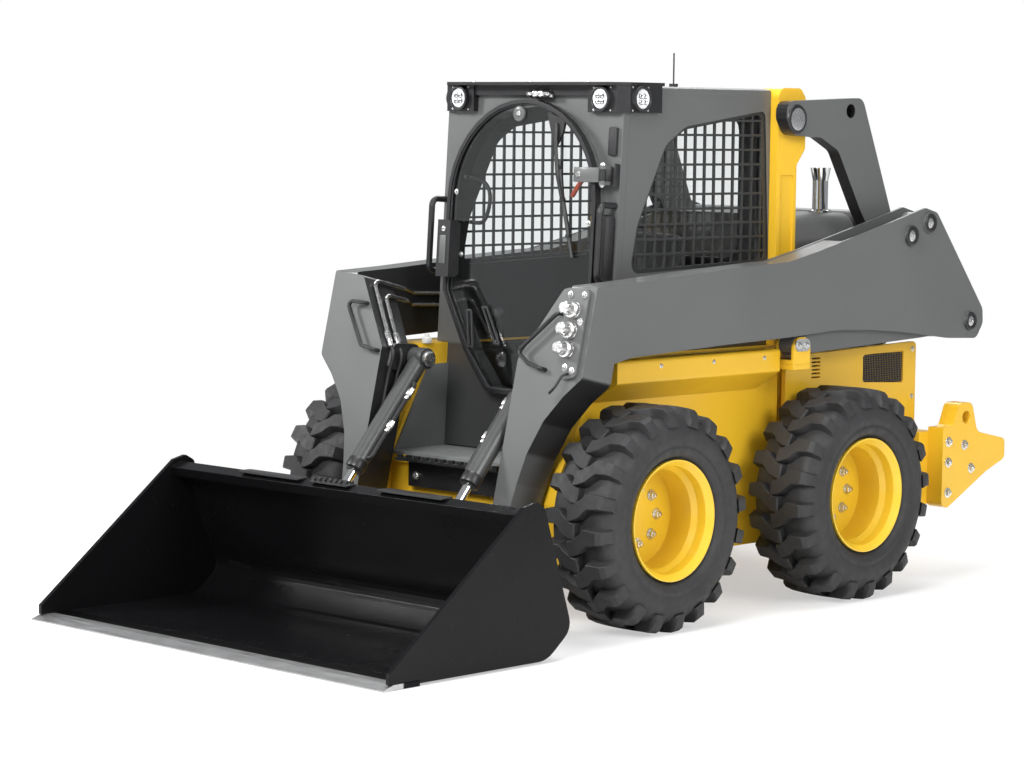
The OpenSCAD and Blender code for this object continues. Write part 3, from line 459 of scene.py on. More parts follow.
YELLOW = sprayed_paint("loader_yellow", (0.80, 0.48, 0.024), (0.75, 0.435, 0.018))
RIM_YELLOW = sprayed_paint("rim_yellow", (0.77, 0.507, 0.027), (0.72, 0.462, 0.021))
GREY_TONES = ((0.105, 0.107, 0.106), (0.092, 0.094, 0.093), 0.36, 0.48)
GREY = sprayed_paint("loader_grey", *GREY_TONES)
# Greys with painted shade, dark on the faces their masks pick.
ARM_GREY_PAINTED_SHADE = sprayed_paint("arm_grey_painted_shade", *GREY_TONES, inside=arm_painted_shade)
CAB_GREY_PAINTED_SHADE = sprayed_paint("cab_grey_painted_shade", *GREY_TONES, inside=cab_painted_shade)
LINK_GREY_PAINTED_SHADE = sprayed_paint("link_grey_painted_shade", *GREY_TONES, inside=link_painted_shade)
DEEP_GREY = sprayed_paint("cylinder_grey", (0.050, 0.051, 0.051), (0.042, 0.043, 0.043), 0.34, 0.46)
DARK = sprayed_paint("screen_dark", (0.026, 0.027, 0.027), (0.020, 0.021, 0.021), 0.4, 0.55, 0.1)
BLACK = sprayed_paint("trim_black", (0.010, 0.010, 0.011), (0.007, 0.007, 0.008), 0.35, 0.5, 0.1)
BUCKET = scuffed_black("bucket_black", (0.0045, 0.0045, 0.005), 0.21, 0.29)
PLASTIC = moulded_plastic("cab_plastic", (0.011, 0.011, 0.012))
LINER = moulded_plastic("footwell_liner", (0.135, 0.140, 0.139), 0.45, 0.6)
STEEL = drawn_steel("worn_steel", (0.50, 0.50, 0.50), (0.41, 0.41, 0.41), 0.34, 0.5,
                    bare_from=EDGE_BARE)
TUBE = drawn_steel("tube_steel", (0.46, 0.46, 0.45), (0.40, 0.40, 0.39), 0.22, 0.28)
ZINC = drawn_steel("zinc_plate", (0.74, 0.74, 0.73), (0.56, 0.56, 0.55), 0.2, 0.36,
                   stretch=(1.0, 1.0, 1.0))
CHROME = drawn_steel("polished_rod", (0.86, 0.86, 0.86), (0.78, 0.78, 0.78), 0.06, 0.14)
RUBBER = tyre_rubber()
HOSE = moulded_plastic("hose_cover", (0.008, 0.008, 0.009), 0.4, 0.55)
GLASS = smoked_glass("door_smoke", (0.84, 0.87, 0.87), 0.01)
LENS = lamp_lens()
CLOTH = seat_cloth()
LEVER = sprayed_paint("lever_orange", (0.78, 0.09, 0.015), (0.70, 0.07, 0.012))
PALE = moulded_plastic("pale_clip", (0.62, 0.62, 0.60))

NODE_FINISH = {
    YELLOW: ("main_frame", "chaincases", "link_brackets", "uprights", "side_panels", "counterweights"),
    RIM_YELLOW: ("rim_front_left", "rim_front_right", "rim_rear_left", "rim_rear_right"),
    GREY: ("hood", "rear_door", "lower_links", "arm_cross_tube", "coupler_block"),
    LINK_GREY_PAINTED_SHADE: ("rear_link",),
    ARM_GREY_PAINTED_SHADE: ("arm_left", "arm_right"),
    CAB_GREY_PAINTED_SHADE: ("cab_sides", "cab_front", "cab_rear", "roof"),
    DEEP_GREY: ("tilt_barrels", "lift_barrels"),
    DARK: ("engine_block", "axle_housings", "side_screens", "quick_attach"),
    BLACK: ("front_step", "visor", "antenna", "grab_handles", "rear_grille", "door_frame", "guard_hoops"),
    BUCKET: ("bucket",),
    PLASTIC: ("controls", "door_handle"),
    LINER: ("footwell",),
    STEEL: ("cutting_edge",),
    TUBE: ("hydraulic_tubes",),
    CHROME: ("exhaust", "lift_rods", "tilt_rods"),
    GLASS: ("door_glass", "rear_glass"),
    LENS: ("work_lamps",),
    CLOTH: ("seat",),
    RUBBER: ("tyre_front_left", "tyre_front_right", "tyre_rear_left", "tyre_rear_right"),
}


def paint_nodes():
    """Each node gets its finish."""
    for material, names in NODE_FINISH.items():
        for name in names:
            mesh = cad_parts[name].data
            mesh.materials.clear()
            mesh.materials.append(material)


# Wheels; the tyre's half section is radius and half width, from its bead to the middle of its tread
SIDEWALL = [(0.2092, 0.113), (0.2285, 0.1215), (0.236, 0.134), (0.246, 0.1425), (0.256, 0.1468),
            (0.264, 0.1482), (0.268, 0.1478), (0.272, 0.1462), (0.277, 0.1465), (0.284, 0.1492),
            (0.300, 0.1508), (0.318, 0.1505), (0.330, 0.1480), (0.342, 0.1430), (0.354, 0.1350),
            (0.366, 0.1240), (0.375, 0.1100), (0.380, 0.090), (0.381, 0.050), (0.381, 0.0)]
# Lug from past the tread's middle out over the shoulder, as rows of
# place across, its two edges round the tread, drop of its top, and radius of its foot
LUG = [(-0.020, 0.022, 0.074, 0.005, 0.375), (-0.015, 0.019, 0.077, 0.0, 0.374),
       (0.004, 0.015, 0.075, 0.0, 0.374), (0.040, -0.008, 0.060, 0.0, 0.373),
       (0.058, -0.029, 0.040, 0.0, 0.372), (0.075, -0.030, 0.028, 0.0, 0.371),
       (0.118, -0.026, 0.024, 0.003, 0.362), (0.135, -0.025, 0.023, 0.015, 0.352),
       (0.149, -0.023, 0.021, 0.050, 0.345)]
LUG_COUNT = 20
TYRE_STEPS = 80
LUG_SLOPE, LUG_EDGE, LUG_LEAST = 0.008, 0.0025, 0.012
NUT_COUNT, NUT_RING = 8, 0.1015


def corner(x, y):
    """Which wheel stands ahead or behind (x) and left or right (y)."""
    return ("front" if x > 0 else "rear") + "_" + ("left" if y > 0 else "right")


def tread_lug(bm, turn, side):
    """One lug, bent round the tread."""
    def bend(s, y, r):
        angle = s / TYRE_R + turn
        return Vector((r * sin(angle), side * y, r * cos(angle)))
    rings = []
    for y, a, b, drop, foot in LUG:
        top = TYRE_R - drop
        foot = min(foot, top - LUG_LEAST)
        rings.append([bend(a - LUG_SLOPE, y, foot), bend(a, y, top - LUG_EDGE), bend(a + LUG_EDGE, y, top),
                      bend(b - LUG_EDGE, y, top), bend(b, y, top - LUG_EDGE), bend(b + LUG_SLOPE, y, foot)])
    loft(bm, rings)


def build_tyre(x, y):
    """Turned carcass with two rows of lugs, half a pitch apart."""
    bm = bmesh.new()
    outline = SIDEWALL + [(r, -w) for r, w in reversed(SIDEWALL[:-1])]
    verts = [bm.verts.new((0, w, r)) for r, w in outline]
    edges = [bm.edges.new(pair) for pair in zip(verts, verts[1:] + verts[:1])]
    bmesh.ops.spin(bm, geom=verts + edges, cent=(0, 0, 0), axis=LEFT, angle=2 * pi, steps=TYRE_STEPS,
                   use_merge=True)
    for side in (1, -1):
        for i in range(LUG_COUNT):
            tread_lug(bm, 2 * pi * (i + (0.25 if side > 0 else 0.75)) / LUG_COUNT, side)
    if y < 0:
        bmesh.ops.scale(bm, vec=(1, -1, 1), verts=bm.verts)
    bmesh.ops.translate(bm, vec=at(x * WHEEL_X, y * WHEEL_Y, WHEEL_Z), verts=bm.verts)
    where = corner(x, y)
    piece("lugged_tyre_" + where, bm, "wheel_" + where, RUBBER, 30, ("tyre_" + where,))


def wheel_nuts(x, y):
    """Ring of nuts on the wheel's disc, each on its washer with its stud's end."""
    bm = bmesh.new()
    out = LEFT * y
    disc = at(x * WHEEL_X, y * (WHEEL_Y - DISC_DEPTH), WHEEL_Z)
    for i in range(NUT_COUNT):
        a = 2 * pi * i / NUT_COUNT
        spot = disc + Vector((cos(a), 0, sin(a))) * NUT_RING
        lathe(bm, [(0, 0.004), (0.021, 0.004), (0.021, 0.0005), (0.0, 0.0005)], spot, out, 20)
        peg(bm, spot + out * 0.004, out, 0.0155, 0.014, 6)
        peg(bm, spot + out * 0.016, out, 0.0085, 0.010, 14)
    where = corner(x, y)
    piece("wheel_nuts_" + where, bm, "wheel_" + where, ZINC)


# Pins and bolts; an arm's pin is place along the machine, height, collar's radius and outer face
ARM_PINS = ((-1.023, 1.409, 0.036, 0.698), (-1.142, 1.459, 0.034, 0.700), (-1.439, 1.051, 0.033, 0.698))
LINK_PIN = (-0.450, 0.562, 1.869)
# Oval keeper under the arm: its middle, half the pitch of its bolts, its end's radius, and its two faces
KEEPER_X, KEEPER_Z = -0.360, 1.000
KEEPER_HALF, KEEPER_R = 0.022, 0.024
KEEPER_BACK, KEEPER_FACE = 0.6752, 0.6800
WEIGHT_BOLTS = ((-1.300, 0.560), (-1.300, 0.475), (-1.300, 0.350), (-1.410, 0.540), (-1.46, 0.44))
PANEL_BOLTS = ((-1.255, 0.935), (-1.255, 0.740), (-0.46, 0.915), (-0.46, 0.640))


def pin_caps():
    """Retainers on the arms' pins: dark collar, bright pin face and its keeper bolt."""
    collars, faces = bmesh.new(), bmesh.new()
    for s in (1, -1):
        for x, z, r, y in ARM_PINS:
            spot = at(x, s * y, z)
            lathe(collars, [(r * 0.72, 0.0), (r * 0.72, 0.006), (r, 0.006), (r * 1.12, 0.003),
                            (r * 1.14, 0.0)], spot, LEFT * s, 40)
            lathe(faces, [(0.0, 0.003), (r * 0.5, 0.003), (r * 0.66, 0.001), (r * 0.7, 0.0)],
                  spot, LEFT * s, 40)
            hex_bolt(faces, spot + LEFT * s * 0.003, LEFT * s, 0.008)
    piece("arm_pin_collars", collars, "boom", BLACK)
    piece("arm_pin_faces", faces, "boom", ZINC)
    rings, tops, keepers = bmesh.new(), bmesh.new(), bmesh.new()
    for s in (1, -1):
        spot = at(LINK_PIN[0], s * LINK_PIN[1], LINK_PIN[2])
        lathe(tops, [(0.0, 0.0011), (0.040, 0.0011), (0.0436, 0.0001), (0.0, 0.0001)], spot, LEFT * s, 40)
        lathe(rings, [(0.0435, -0.0065), (0.0435, 0.0008), (0.050, 0.0008), (0.0565, -0.003),
                      (0.058, -0.0065)], spot, LEFT * s, 48)
        oval = [(KEEPER_X + dx + KEEPER_R * cos(a), KEEPER_Z + KEEPER_R * sin(a))
                for dx, start in ((KEEPER_HALF, -pi / 2), (-KEEPER_HALF, pi / 2))
                for a in (start + pi * k / 10 for k in range(11))]
        loft(keepers, [[at(x, s * y, z) for x, z in oval] for y in (KEEPER_BACK, KEEPER_FACE)])
        for dx in (-KEEPER_HALF, KEEPER_HALF):
            hex_bolt(keepers, at(KEEPER_X + dx, s * KEEPER_FACE, KEEPER_Z), LEFT * s, 0.009)
    piece("link_pin_rings", rings, "chassis", BLACK)
    piece("link_pin_faces", tops, "chassis", ZINC)
    piece("lower_pin_keepers", keepers, "chassis", ZINC)


def frame_bolts():
    """Bolts on the counterweights, the side panels, the fenders, the step and the visor."""
    bm = bmesh.new()
    for s in (1, -1):
        for x, z in WEIGHT_BOLTS:
            hex_bolt(bm, at(x, s * 0.700, z), LEFT * s, 0.014)
        for x, z in PANEL_BOLTS:
            hex_bolt(bm, at(x, s * 0.540, z), LEFT * s, 0.007)
        for x in (-0.20, 0.10, 0.40):
            hex_bolt(bm, at(x, s * 0.620, 0.955), LEFT * s, 0.006)
    for y in (-0.23, 0.23):
        hex_bolt(bm, at(0.834, y, 0.500), AHEAD, 0.012)
    for y in (-0.30, 0.0, 0.30):
        hex_bolt(bm, at(0.475, y, 1.9973), UP, 0.007)
    piece("frame_bolts", bm, "chassis", ZINC)


# Mesh of the side panels: bottom, top, rear and front of the recess, gaps up and along it, wire's radius,
# and how far out the level and the upright wires lie
MESH_BOX = (0.806, 0.924, -1.186, -0.933)
MESH_UP, MESH_ALONG = 13, 23
WIRE_R = 0.0022
LEVEL_Y, UPRIGHT_Y = 0.5345, 0.5365


def panel_mesh():
    """Dark wire mesh in the recess of each side panel; its dark wires also stand in for the shade that
    falls in the recess.
    """
    bm = bmesh.new()
    low, high, rear, front = MESH_BOX
    for s in (1, -1):
        for k in range(MESH_UP + 1):
            z = low + (high - low) * k / MESH_UP
            pipe(bm, [at(rear, s * LEVEL_Y, z), at(front, s * LEVEL_Y, z)], WIRE_R, 6)
        for k in range(MESH_ALONG + 1):
            x = rear + (front - rear) * k / MESH_ALONG
            pipe(bm, [at(x, s * UPRIGHT_Y, low), at(x, s * UPRIGHT_Y, high)], WIRE_R, 6)
    piece("panel_mesh", bm, "chassis", DARK)


# Lamps on the visor's corners: height, place of those ahead, place of those at the side, and rings of
# their four reflectors and screws
LAMP_Z = 1.936
LAMP_AHEAD, LAMP_ASIDE = (0.4740, 0.372), (0.382, 0.481)
CUP_RING, SCREW_RING = 0.0155, 0.060


def lamp_details():
    """Bezels, reflector cups and screws of the work lamps."""
    bezels, cups, screws = bmesh.new(), bmesh.new(), bmesh.new()
    for s in (1, -1):
        for (x, y), out, across in ((LAMP_AHEAD, AHEAD, LEFT), (LAMP_ASIDE, LEFT * s, AHEAD)):
            spot = at(x, s * y, LAMP_Z)
            lathe(bezels, [(0.0385, 0.0), (0.0385, 0.016), (0.041, 0.0175), (0.047, 0.016), (0.049, 0.0)],
                  spot, out, 48)
            for i in range(4):
                a = pi / 4 + i * pi / 2
                side = across * cos(a) + UP * sin(a)
                led = spot + side * CUP_RING + out * 0.0132
                lathe(cups, [(0.0, 0.0012), (0.004, 0.0016), (0.007, 0.0002), (0.0115, 0.0022),
                             (0.0125, 0.0)], led, out, 24)
                hex_bolt(screws, spot + side * SCREW_RING, out, 0.0028)
    piece("lamp_bezels", bezels, "chassis", BLACK)
    piece("lamp_cups", cups, "chassis", CHROME)
    piece("lamp_screws", screws, "chassis", ZINC)


def horn_cluster():
    """Small bright horn with its lobes, under the visor's lip."""
    bm = bmesh.new()
    for y, r in ((-0.045, 0.014), (-0.015, 0.018), (0.015, 0.018), (0.045, 0.014)):
        lathe(bm, [(0.0, 0.0), (r * 0.7, 0.0), (r, 0.006), (r, 0.016), (r * 0.75, 0.024), (r * 0.4, 0.028),
                   (0.0, 0.028)], at(0.468, 0.055 + y, 1.953), AHEAD, 20)
    block(bm, at(0.4665, -0.01, 1.940), at(0.476, 0.12, 1.950), 0.002)
    piece("horn_cluster", bm, "chassis", ZINC)


# Door: height where its arch starts, half width, and below the arch rows of half width, height and how far
# an inset lifts that point; then the glass's outer face, its fastener and the heights of the hinges
ARCH = 0.770
DOOR_HALF = 0.390
DOOR_FOOT = [(0.390, 0.420, 0.0), (0.256, 0.190, 0.0), (0.140, 0.050, 0.5), (0.095, 0.035, 1.0)]
GLASS_FACE = -0.008
FASTENER = (-0.034, 1.105)
HINGES = (0.430, 0.880)


def door_edge(inset, x):
    """The door's outline, drawn in by an inset, at a height above its plane."""
    half = DOOR_HALF - inset
    arch = [(half * cos(a * pi / 24), ARCH + half * sin(a * pi / 24)) for a in range(25)]
    foot = [(y - inset, z + share * inset) for y, z, share in DOOR_FOOT]
    outline = arch + [(-y, z) for y, z in foot] + foot[::-1]
    return [on_door(x, y, z) for y, z in outline]


def door_trim():
    """Seal round the glass, the fastener under the arch, the pull slots and the loop inside."""
    seal = bmesh.new()
    loop = door_edge(0.0185, GLASS_FACE + 0.0045)
    pipe(seal, loop + loop[:2], 0.004, 8)
    piece("door_seal", seal, "cab_door", HOSE)
    bright, collar = bmesh.new(), bmesh.new()
    spot = on_door(GLASS_FACE, *FASTENER)
    lathe(collar, [(0.0125, 0.011), (0.020, 0.011), (0.029, 0.007), (0.031, 0.0003), (0.0125, 0.0003)],
          spot, DOOR_OUT, 36)
    lathe(bright, [(0.0, 0.013), (0.009, 0.013), (0.012, 0.010), (0.012, 0.0003), (0.0, 0.0003)],
          spot, DOOR_OUT, 36)
    piece("door_fastener_collar", collar, "cab_door", GREY)
    for y, z in ((-0.310, 0.560), (-0.352, 0.800), (0.352, 0.700)):
        hex_bolt(bright, on_door(GLASS_FACE + 0.0002, y, z), DOOR_OUT, 0.007)
    piece("door_fasteners", bright, "cab_door", ZINC)
    slot = bmesh.new()
    for (y0, z0), (y1, z1) in (((-0.243, 0.345), (-0.226, 0.205)), ((-0.160, 0.360), (-0.085, 0.225))):
        for dy in (-0.011, 0.011):
            pipe(slot, [on_door(GLASS_FACE + 0.006, y + dy, z) for y, z in ((y0, z0), (y1, z1))], 0.005, 8)
        for y, z in ((y0, z0), (y1, z1)):
            pipe(slot, [on_door(GLASS_FACE + 0.006, y + dy, z) for dy in (-0.014, 0.014)], 0.005, 8)
    piece("door_pulls", slot, "cab_door", PLASTIC)
    inner = bmesh.new()
    pipe(inner, smooth_path([on_door(x, y, z) for x, y, z in (
        (-0.0155, -0.315, 0.860), (-0.045, -0.312, 0.858), (-0.050, -0.235, 0.836), (-0.050, -0.208, 0.775),
        (-0.050, -0.235, 0.692), (-0.045, -0.305, 0.686), (-0.0155, -0.308, 0.686))]), 0.008, 8)
    piece("door_inner_loop", inner, "cab_door", HOSE)


def front_turn():
    """Frame of the leaning cab front, for pieces drawn on it."""
    turn = Matrix((DOOR_OUT, LEFT, DOOR_UP)).transposed().to_4x4()
    return Matrix.Translation(at(DOOR_AT[0], 0, DOOR_AT[1])) @ turn


def wiper():
    """Wiper: motor housing under the arch, arm, and blade along the glass."""
    arm, blade = bmesh.new(), bmesh.new()
    housing = ((0.120, 1.110), (0.215, 1.085), (0.205, 1.035), (0.175, 0.985), (0.150, 1.020))
    loft(arm, [[on_door(GLASS_FACE + x, y, z) for y, z in housing] for x in (0.0005, 0.012)])
    pipe(arm, [on_door(0.008, 0.172, 1.070), on_door(0.014, 0.182, 0.980), on_door(0.014, 0.199, 0.876),
               on_door(0.008, 0.222, 0.790)], 0.0075, 8)
    pipe(blade, [on_door(0.001, 0.196, 0.930), on_door(0.002, 0.218, 0.800), on_door(0.002, 0.248, 0.700),
                 on_door(0.001, 0.284, 0.570)], 0.0085, 6)
    for y, z in ((0.199, 0.905), (0.222, 0.785), (0.262, 0.650)):
        peg(blade, on_door(-0.004, y, z), DOOR_OUT, 0.010, 0.016, 12)
    piece("wiper_arm", arm, "cab_door", BLACK)
    piece("wiper_blade", blade, "cab_door", HOSE)


def door_hinges():
    """Rounded hinge plates with a bright dot, bolted blocks on the pillar, and the orange release lever."""
    plates, bright, lever = bmesh.new(), bmesh.new(), bmesh.new()
    for z in HINGES:
        block(plates, (0.0152, 0.288, z - 0.028), (0.024, 0.416, z + 0.028), 0.012, front_turn())
        lathe(bright, [(0.0, 0.003), (0.009, 0.003), (0.012, 0.0)], on_door(0.024, 0.312, z), DOOR_OUT, 24)
        for end in (-1, 1):
            hex_bolt(bright, on_door(0.014, 0.428, z + end * 0.036), DOOR_UP * end, 0.008)
    piece("hinge_plates", plates, "cab_door", GREY)
    blocks = bmesh.new()
    for z in HINGES:
        block(blocks, (-0.0495, 0.4385, z - 0.045), (-0.020, 0.457, z + 0.045), 0.004, front_turn())
    piece("hinge_blocks", blocks, "chassis", BLACK)
    pipe(lever, smooth_path([on_door(-0.024, 0.300, 0.865), on_door(-0.030, 0.270, 0.838),
                             on_door(-0.035, 0.238, 0.800)]), 0.009, 8)
    piece("release_lever", lever, "cab_door", LEVER)
    piece("hinge_bolts", bright, "cab_door", ZINC)


def door_grip():
    """Grey inset and bright key on the latch box."""
    inset, key = bmesh.new(), bmesh.new()
    block(inset, (0.0502, -0.372, 0.520), (0.053, -0.338, 0.630), 0.006, front_turn())
    piece("latch_inset", inset, "cab_door", GREY)
    lathe(key, [(0.0, 0.004), (0.008, 0.004), (0.011, 0.002), (0.011, 0.0)],
          on_door(0.0502, -0.355, 0.655), DOOR_OUT, 24)
    piece("latch_key", key, "cab_door", ZINC)


def pillar_pad():
    """Padded grip on the left pillar, the wiring box over it, and the pale clip by the right fender."""
    pad = bmesh.new()
    block(pad, (-0.0495, 0.399, 0.478), (0.006, 0.452, 0.735), 0.016, front_turn())
    block(pad, (-0.0495, 0.400, 0.955), (-0.034, 0.440, 1.060), 0.006, front_turn())
    piece("pillar_pad", pad, "chassis", PLASTIC)
    clip = bmesh.new()
    block(clip, at(0.602, -0.414, 0.9853), at(0.632, -0.386, 1.012), 0.005)
    block(clip, at(0.610, -0.408, 1.011), at(0.624, -0.392, 1.024), 0.004)
    piece("pale_clip", clip, "chassis", PALE)


# Arms: places across of the hose loops behind the left arm, heights of the couplers on the leg, and the
# tilt cylinder's two pins, the rows of its hose (along and beside it), its ports and how far out they lie
LOOPS = (0.500, 0.522, 0.544)
COUPLERS = (-0.090, -0.165, -0.235)
COUPLER_BOLTS = ((0.580, -0.035), (0.648, -0.035), (0.580, -0.22), (0.648, -0.31), (0.612, -0.30),
                 (0.648, -0.13))
TILT_HEAD, TILT_EYE = (0.740, 0.940), (1.185, 0.420)
TILT_HOSE = ((0.115, 0.030), (0.125, 0.050), (0.16, 0.051), (0.30, 0.051), (0.42, 0.052), (0.465, 0.050),
             (0.475, 0.030))
TILT_PORTS, PORT_OUT = (0.145, 0.300), 0.051
GLAND_AT = 0.530


def hard_lines():
    """Fittings at the hard tubes' ends, hoses on down the right leg, and loops behind the left arm."""
    ends, hoses = bmesh.new(), bmesh.new()
    for k in (0, 1):
        x, y, z = -0.040 - 0.045 * k, -0.511 + 0.029 * k, -0.023 - 0.046 * k
        foot = on_leg(x, -0.386, -0.221)
        run = (foot - on_leg(x, y, z)).normalized()
        peg(ends, foot - run * 0.004, run, 0.0125, 0.034, 6)
        peg(ends, foot + run * 0.030, run, 0.0105, 0.030, 20)
        pipe(hoses, smooth_path([foot + run * 0.05, foot + run * 0.10, on_leg(x - 0.010, -0.3515, -0.40),
                                 on_leg(x - 0.010, -0.3515, -0.62)]), 0.0075, 8)
    for k, y in enumerate(LOOPS):
        out = 0.014 * k
        pipe(hoses, smooth_path([at(-1.220, y, 1.395), at(-1.330, y, 1.390),
                                 at(-1.430 - out, y, 1.345 + out), at(-1.475 - out, y, 1.285),
                                 at(-1.430 - out, y, 1.230 - out), at(-1.300, y, 1.225 - out)]), 0.0095, 8)
    piece("tube_fittings", ends, "boom", ZINC)
    piece("arm_hoses", hoses, "boom", HOSE)


def coupler_details():
    """Bright couplers, plate bolts and the small lever on the left leg."""
    bright = bmesh.new()
    for z in COUPLERS:
        spot = on_leg(0.013, 0.612, z)
        lathe(bright, [(0.0, 0.0665), (0.018, 0.0665), (0.0235, 0.062), (0.0235, 0.027), (0.030, 0.0235),
                       (0.030, 0.012), (0.0265, 0.009), (0.030, 0.006), (0.030, 0.0015), (0.0, 0.0015)],
              spot, LEG_OUT, 36)
    for y, z in COUPLER_BOLTS:
        hex_bolt(bright, on_leg(0.014, y, z), LEG_OUT, 0.009)
    piece("couplers", bright, "boom", ZINC)
    lever = bmesh.new()
    pipe(lever, smooth_path([on_leg(0.014, 0.630, -0.320), on_leg(0.040, 0.628, -0.335),
                             on_leg(0.052, 0.615, -0.375), on_leg(0.050, 0.590, -0.400)]), 0.005, 8)
    piece("coupler_lever", lever, "boom", BLACK)


def tilt_glands():
    """Gland rings, ports and the hose beside each tilt barrel, and bright pin faces at its head."""
    head, eye = (at(x, 0, z) for x, z in (TILT_HEAD, TILT_EYE))
    run = (eye - head).normalized()
    rings, pins, hoses, ports = bmesh.new(), bmesh.new(), bmesh.new(), bmesh.new()
    for s in (1, -1):
        middle = head + LEFT * s * TILT_Y
        lathe(rings, [(0.0185, 0.006), (0.030, 0.006), (0.0375, 0.0), (0.0385, -0.004), (0.0385, -0.036),
                      (0.0365, -0.040)], middle + run * GLAND_AT, run, 36)
        side = RIGHT * s
        pipe(hoses, smooth_path([middle + run * t + side * out for t, out in TILT_HOSE]), 0.009, 8)
        for t in TILT_PORTS:
            peg(ports, middle + run * t + side * PORT_OUT, run, 0.0125, 0.030, 6)
            peg(ports, middle + run * (t + 0.028) + side * PORT_OUT, run, 0.011, 0.022, 20)
        lathe(pins, [(0.0, 0.004), (0.021, 0.004), (0.026, 0.002), (0.030, 0.0)],
              at(TILT_HEAD[0], s * TILT_CAP, TILT_HEAD[1]), side, 36)
    piece("tilt_glands", rings, "tilt_barrel", BLACK)
    piece("tilt_hoses", hoses, "tilt_barrel", HOSE)
    piece("tilt_ports", ports, "tilt_barrel", TUBE)
    piece("tilt_pin_faces", pins, "boom", ZINC)


# Bucket: the pads' seat on its top bar, and the teeth of the middle one
BAR_TOP = 0.5325
TEETH, TOOTH_PITCH = 7, 0.028


def bucket_pads():
    """Two flat pads and a toothed one on the bucket's top bar."""
    pads = bmesh.new()
    for y in (-0.375, 0.375):
        block(pads, at(1.394, y - 0.165, BAR_TOP), at(1.452, y + 0.165, 0.5425), 0.004)
    block(pads, at(1.398, -0.150, BAR_TOP), at(1.450, 0.050, 0.541), 0.003)
    for y in (k * TOOTH_PITCH for k in range(TEETH)):
        for x in (1.402, 1.432):
            block(pads, at(x, -0.144 + y, 0.540), at(x + 0.014, -0.128 + y, 0.551), 0.003)
    piece("bucket_pads", pads, "tool", BLACK)


# Seat; the cushion's rings are place along the machine, bottom, top and half width. The backrest's are
# shares of its height, over its foot, and it leans back and narrows on the way up.
CUSHION = ((0.292, 0.80, 0.842, 0.19), (0.28, 0.775, 0.872, 0.222), (0.22, 0.764, 0.884, 0.231),
           (0.08, 0.763, 0.880, 0.233), (-0.04, 0.763, 0.872, 0.232), (-0.12, 0.764, 0.868, 0.228),
           (-0.165, 0.77, 0.860, 0.215))
BACK_RINGS = (0.0, 0.06, 0.2, 0.45, 0.7, 0.9, 0.97, 1.0)
BACK_FOOT, BACK_HEIGHT = 0.885, 0.532
BACK_AT, BACK_LEAN = -0.128, 0.062
BACK_HALF, BACK_NARROWS, BACK_DEEP = 0.228, 0.10, 0.046


def seat_pads():
    """Crowned seat cushion and backrest, rounded by a subdivision surface."""
    bm = bmesh.new()
    round_about = [2 * pi * k / 24 for k in range(24)]
    rings = []
    for x, low, high, half in CUSHION:
        mid, rise = (low + high) / 2, (high - low) / 2
        rings.append([at(x, half * cos(a), mid + rise * sin(a)) for a in round_about])
    loft(bm, rings)
    rings = []
    for t in BACK_RINGS:
        end = t in (0.0, 1.0)
        mid = BACK_AT - t * BACK_LEAN
        half = BACK_HALF * (1 - BACK_NARROWS * t) * (0.86 if end else 1.0)
        deep = BACK_DEEP * (0.7 if end else 1.0)
        rings.append([at(mid + deep * sin(a), half * cos(a), BACK_FOOT + t * BACK_HEIGHT)
                      for a in round_about])
    loft(bm, rings)
    seat = piece("seat_pads", bm, "chassis", CLOTH, 50, ("seat",))
    soft = seat.modifiers.new("soft", "SUBSURF")
    soft.levels = soft.render_levels = 1


# Studio; a lamp is name, place, width, height, power and the point it looks at
LIGHTS = (("key", (7.2, 2.2, 5.6), 4.0, 4.0, 720, (0.2, 0, 0.8)),
          ("side", (0.5, 8.0, 4.5), 4.5, 4.5, 370, (0, 0, 0.9)),
          ("top", (-0.5, 0.0, 7.5), 5.0, 5.0, 400, (0, 0, 1)),
          ("rim", (-5.5, -3.5, 6.5), 4.0, 4.0, 180, (0, 0, 1)),
          ("front", (4.8, -5.3, 4.7), 1.6, 1.6, 320, (1.0, 0.2, 0.3)))
FLOOR_HALF = 60.0
FADE_FROM, FADE_TO = 2.3, 4.6
SHADOW_LIFT = 0.5
SKY, SKY_STRENGTH = (0.80, 0.82, 0.85, 1), 0.40
WHITE = (1, 1, 1, 1)


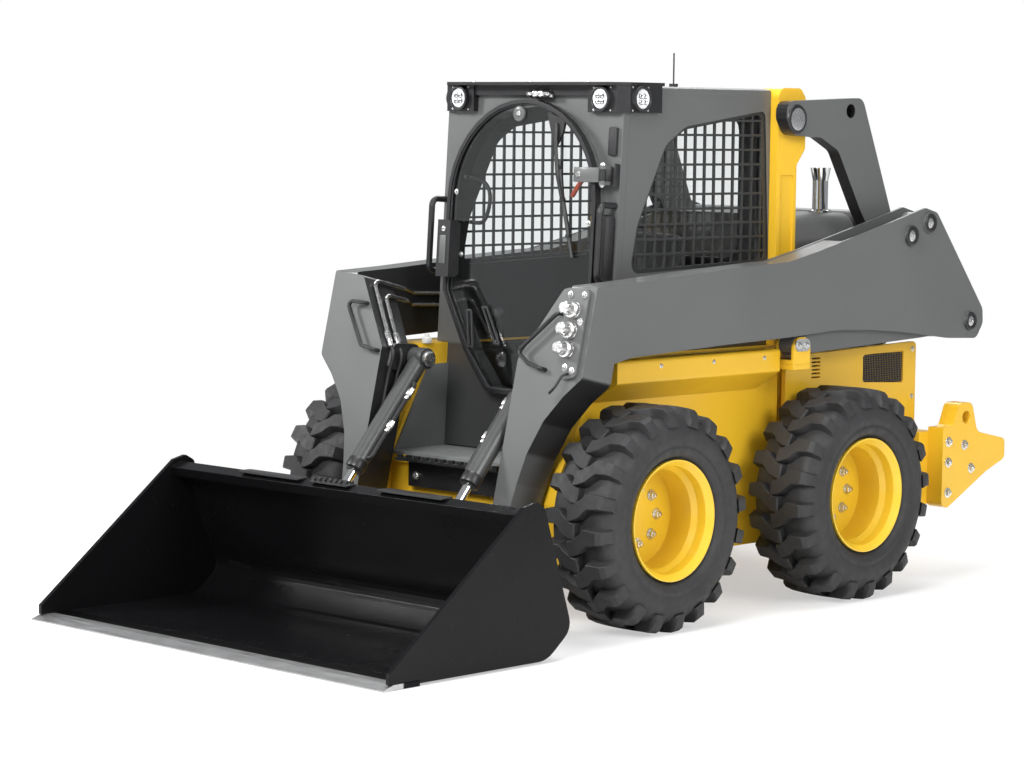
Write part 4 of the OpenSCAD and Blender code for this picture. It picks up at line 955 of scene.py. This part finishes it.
def studio():
    """Soft lights over a pale floor that fades to white, with a white background."""
    scene = bpy.context.scene
    scene.view_settings.view_transform = "Standard"
    world = bpy.data.worlds.new("studio")
    scene.world = world
    world.use_nodes = True
    nodes, links = world.node_tree.nodes, world.node_tree.links
    back = nodes["Background"]
    back.inputs["Color"].default_value = SKY
    back.inputs["Strength"].default_value = SKY_STRENGTH
    white = nodes.new("ShaderNodeBackground")
    white.inputs["Color"].default_value = WHITE
    white.inputs["Strength"].default_value = 1.0
    mix = nodes.new("ShaderNodeMixShader")
    links.new(looked_at(nodes, links), mix.inputs["Fac"])
    links.new(back.outputs[0], mix.inputs[1])
    links.new(white.outputs[0], mix.inputs[2])
    links.new(mix.outputs[0], nodes["World Output"].inputs["Surface"])
    for name, place, width, height, power, aim in LIGHTS:
        lamp = bpy.data.lights.new(name, "AREA")
        lamp.shape, lamp.size, lamp.size_y, lamp.energy = "ELLIPSE", width, height, power
        obj = bpy.data.objects.new(name, lamp)
        obj.location = place
        obj.rotation_euler = (Vector(aim) - Vector(place)).to_track_quat("-Z", "Y").to_euler()
        bpy.context.collection.objects.link(obj)
    lay_floor()


def looked_at(nodes, links):
    """One where the camera looks, straight on or through glass, and zero for other rays."""
    rays = nodes.new("ShaderNodeLightPath")
    seen = nodes.new("ShaderNodeMath")
    seen.operation = "MAXIMUM"
    links.new(rays.outputs["Is Camera Ray"], seen.inputs[0])
    links.new(rays.outputs["Is Transmission Ray"], seen.inputs[1])
    return seen.outputs[0]


def lay_floor():
    """Pale floor: lit and shadowed near the machine, plain white farther out."""
    bm = bmesh.new()
    bmesh.ops.create_grid(bm, x_segments=1, y_segments=1, size=FLOOR_HALF)
    mesh = bpy.data.meshes.new("floor")
    bm.to_mesh(mesh)
    bm.free()
    floor = bpy.data.objects.new("floor", mesh)
    bpy.context.collection.objects.link(floor)
    pale = Finish("pale_floor", roughness=0.9)
    pale.colour((0.90, 0.90, 0.90))
    pale.surface.inputs["Specular IOR Level"].default_value = 0.1
    far = pale.add("ShaderNodeVectorMath", operation="LENGTH")
    pale.join(pale.place, far.inputs[0])
    fade = pale.between(far.outputs["Value"], FADE_FROM, FADE_TO, SHADOW_LIFT, 1.0)
    white = pale.add("ShaderNodeEmission")
    white.inputs["Color"].default_value = WHITE
    mix = pale.add("ShaderNodeMixShader")
    pale.join(pale.math("MULTIPLY", fade, looked_at(pale.nodes, pale.links)), mix.inputs["Fac"])
    pale.join(pale.surface.outputs[0], mix.inputs[1])
    pale.join(white.outputs[0], mix.inputs[2])
    pale.join(mix.outputs[0], pale.nodes["Material Output"].inputs["Surface"])
    mesh.materials.append(pale.material)


set_camera()
studio()
paint_nodes()
for x in (1, -1):
    for y in (1, -1):
        build_tyre(x, y)
        wheel_nuts(x, y)
pin_caps()
frame_bolts()
panel_mesh()
lamp_details()
horn_cluster()
door_trim()
wiper()
door_hinges()
door_grip()
pillar_pad()
hard_lines()
coupler_details()
tilt_glands()
bucket_pads()
seat_pads()
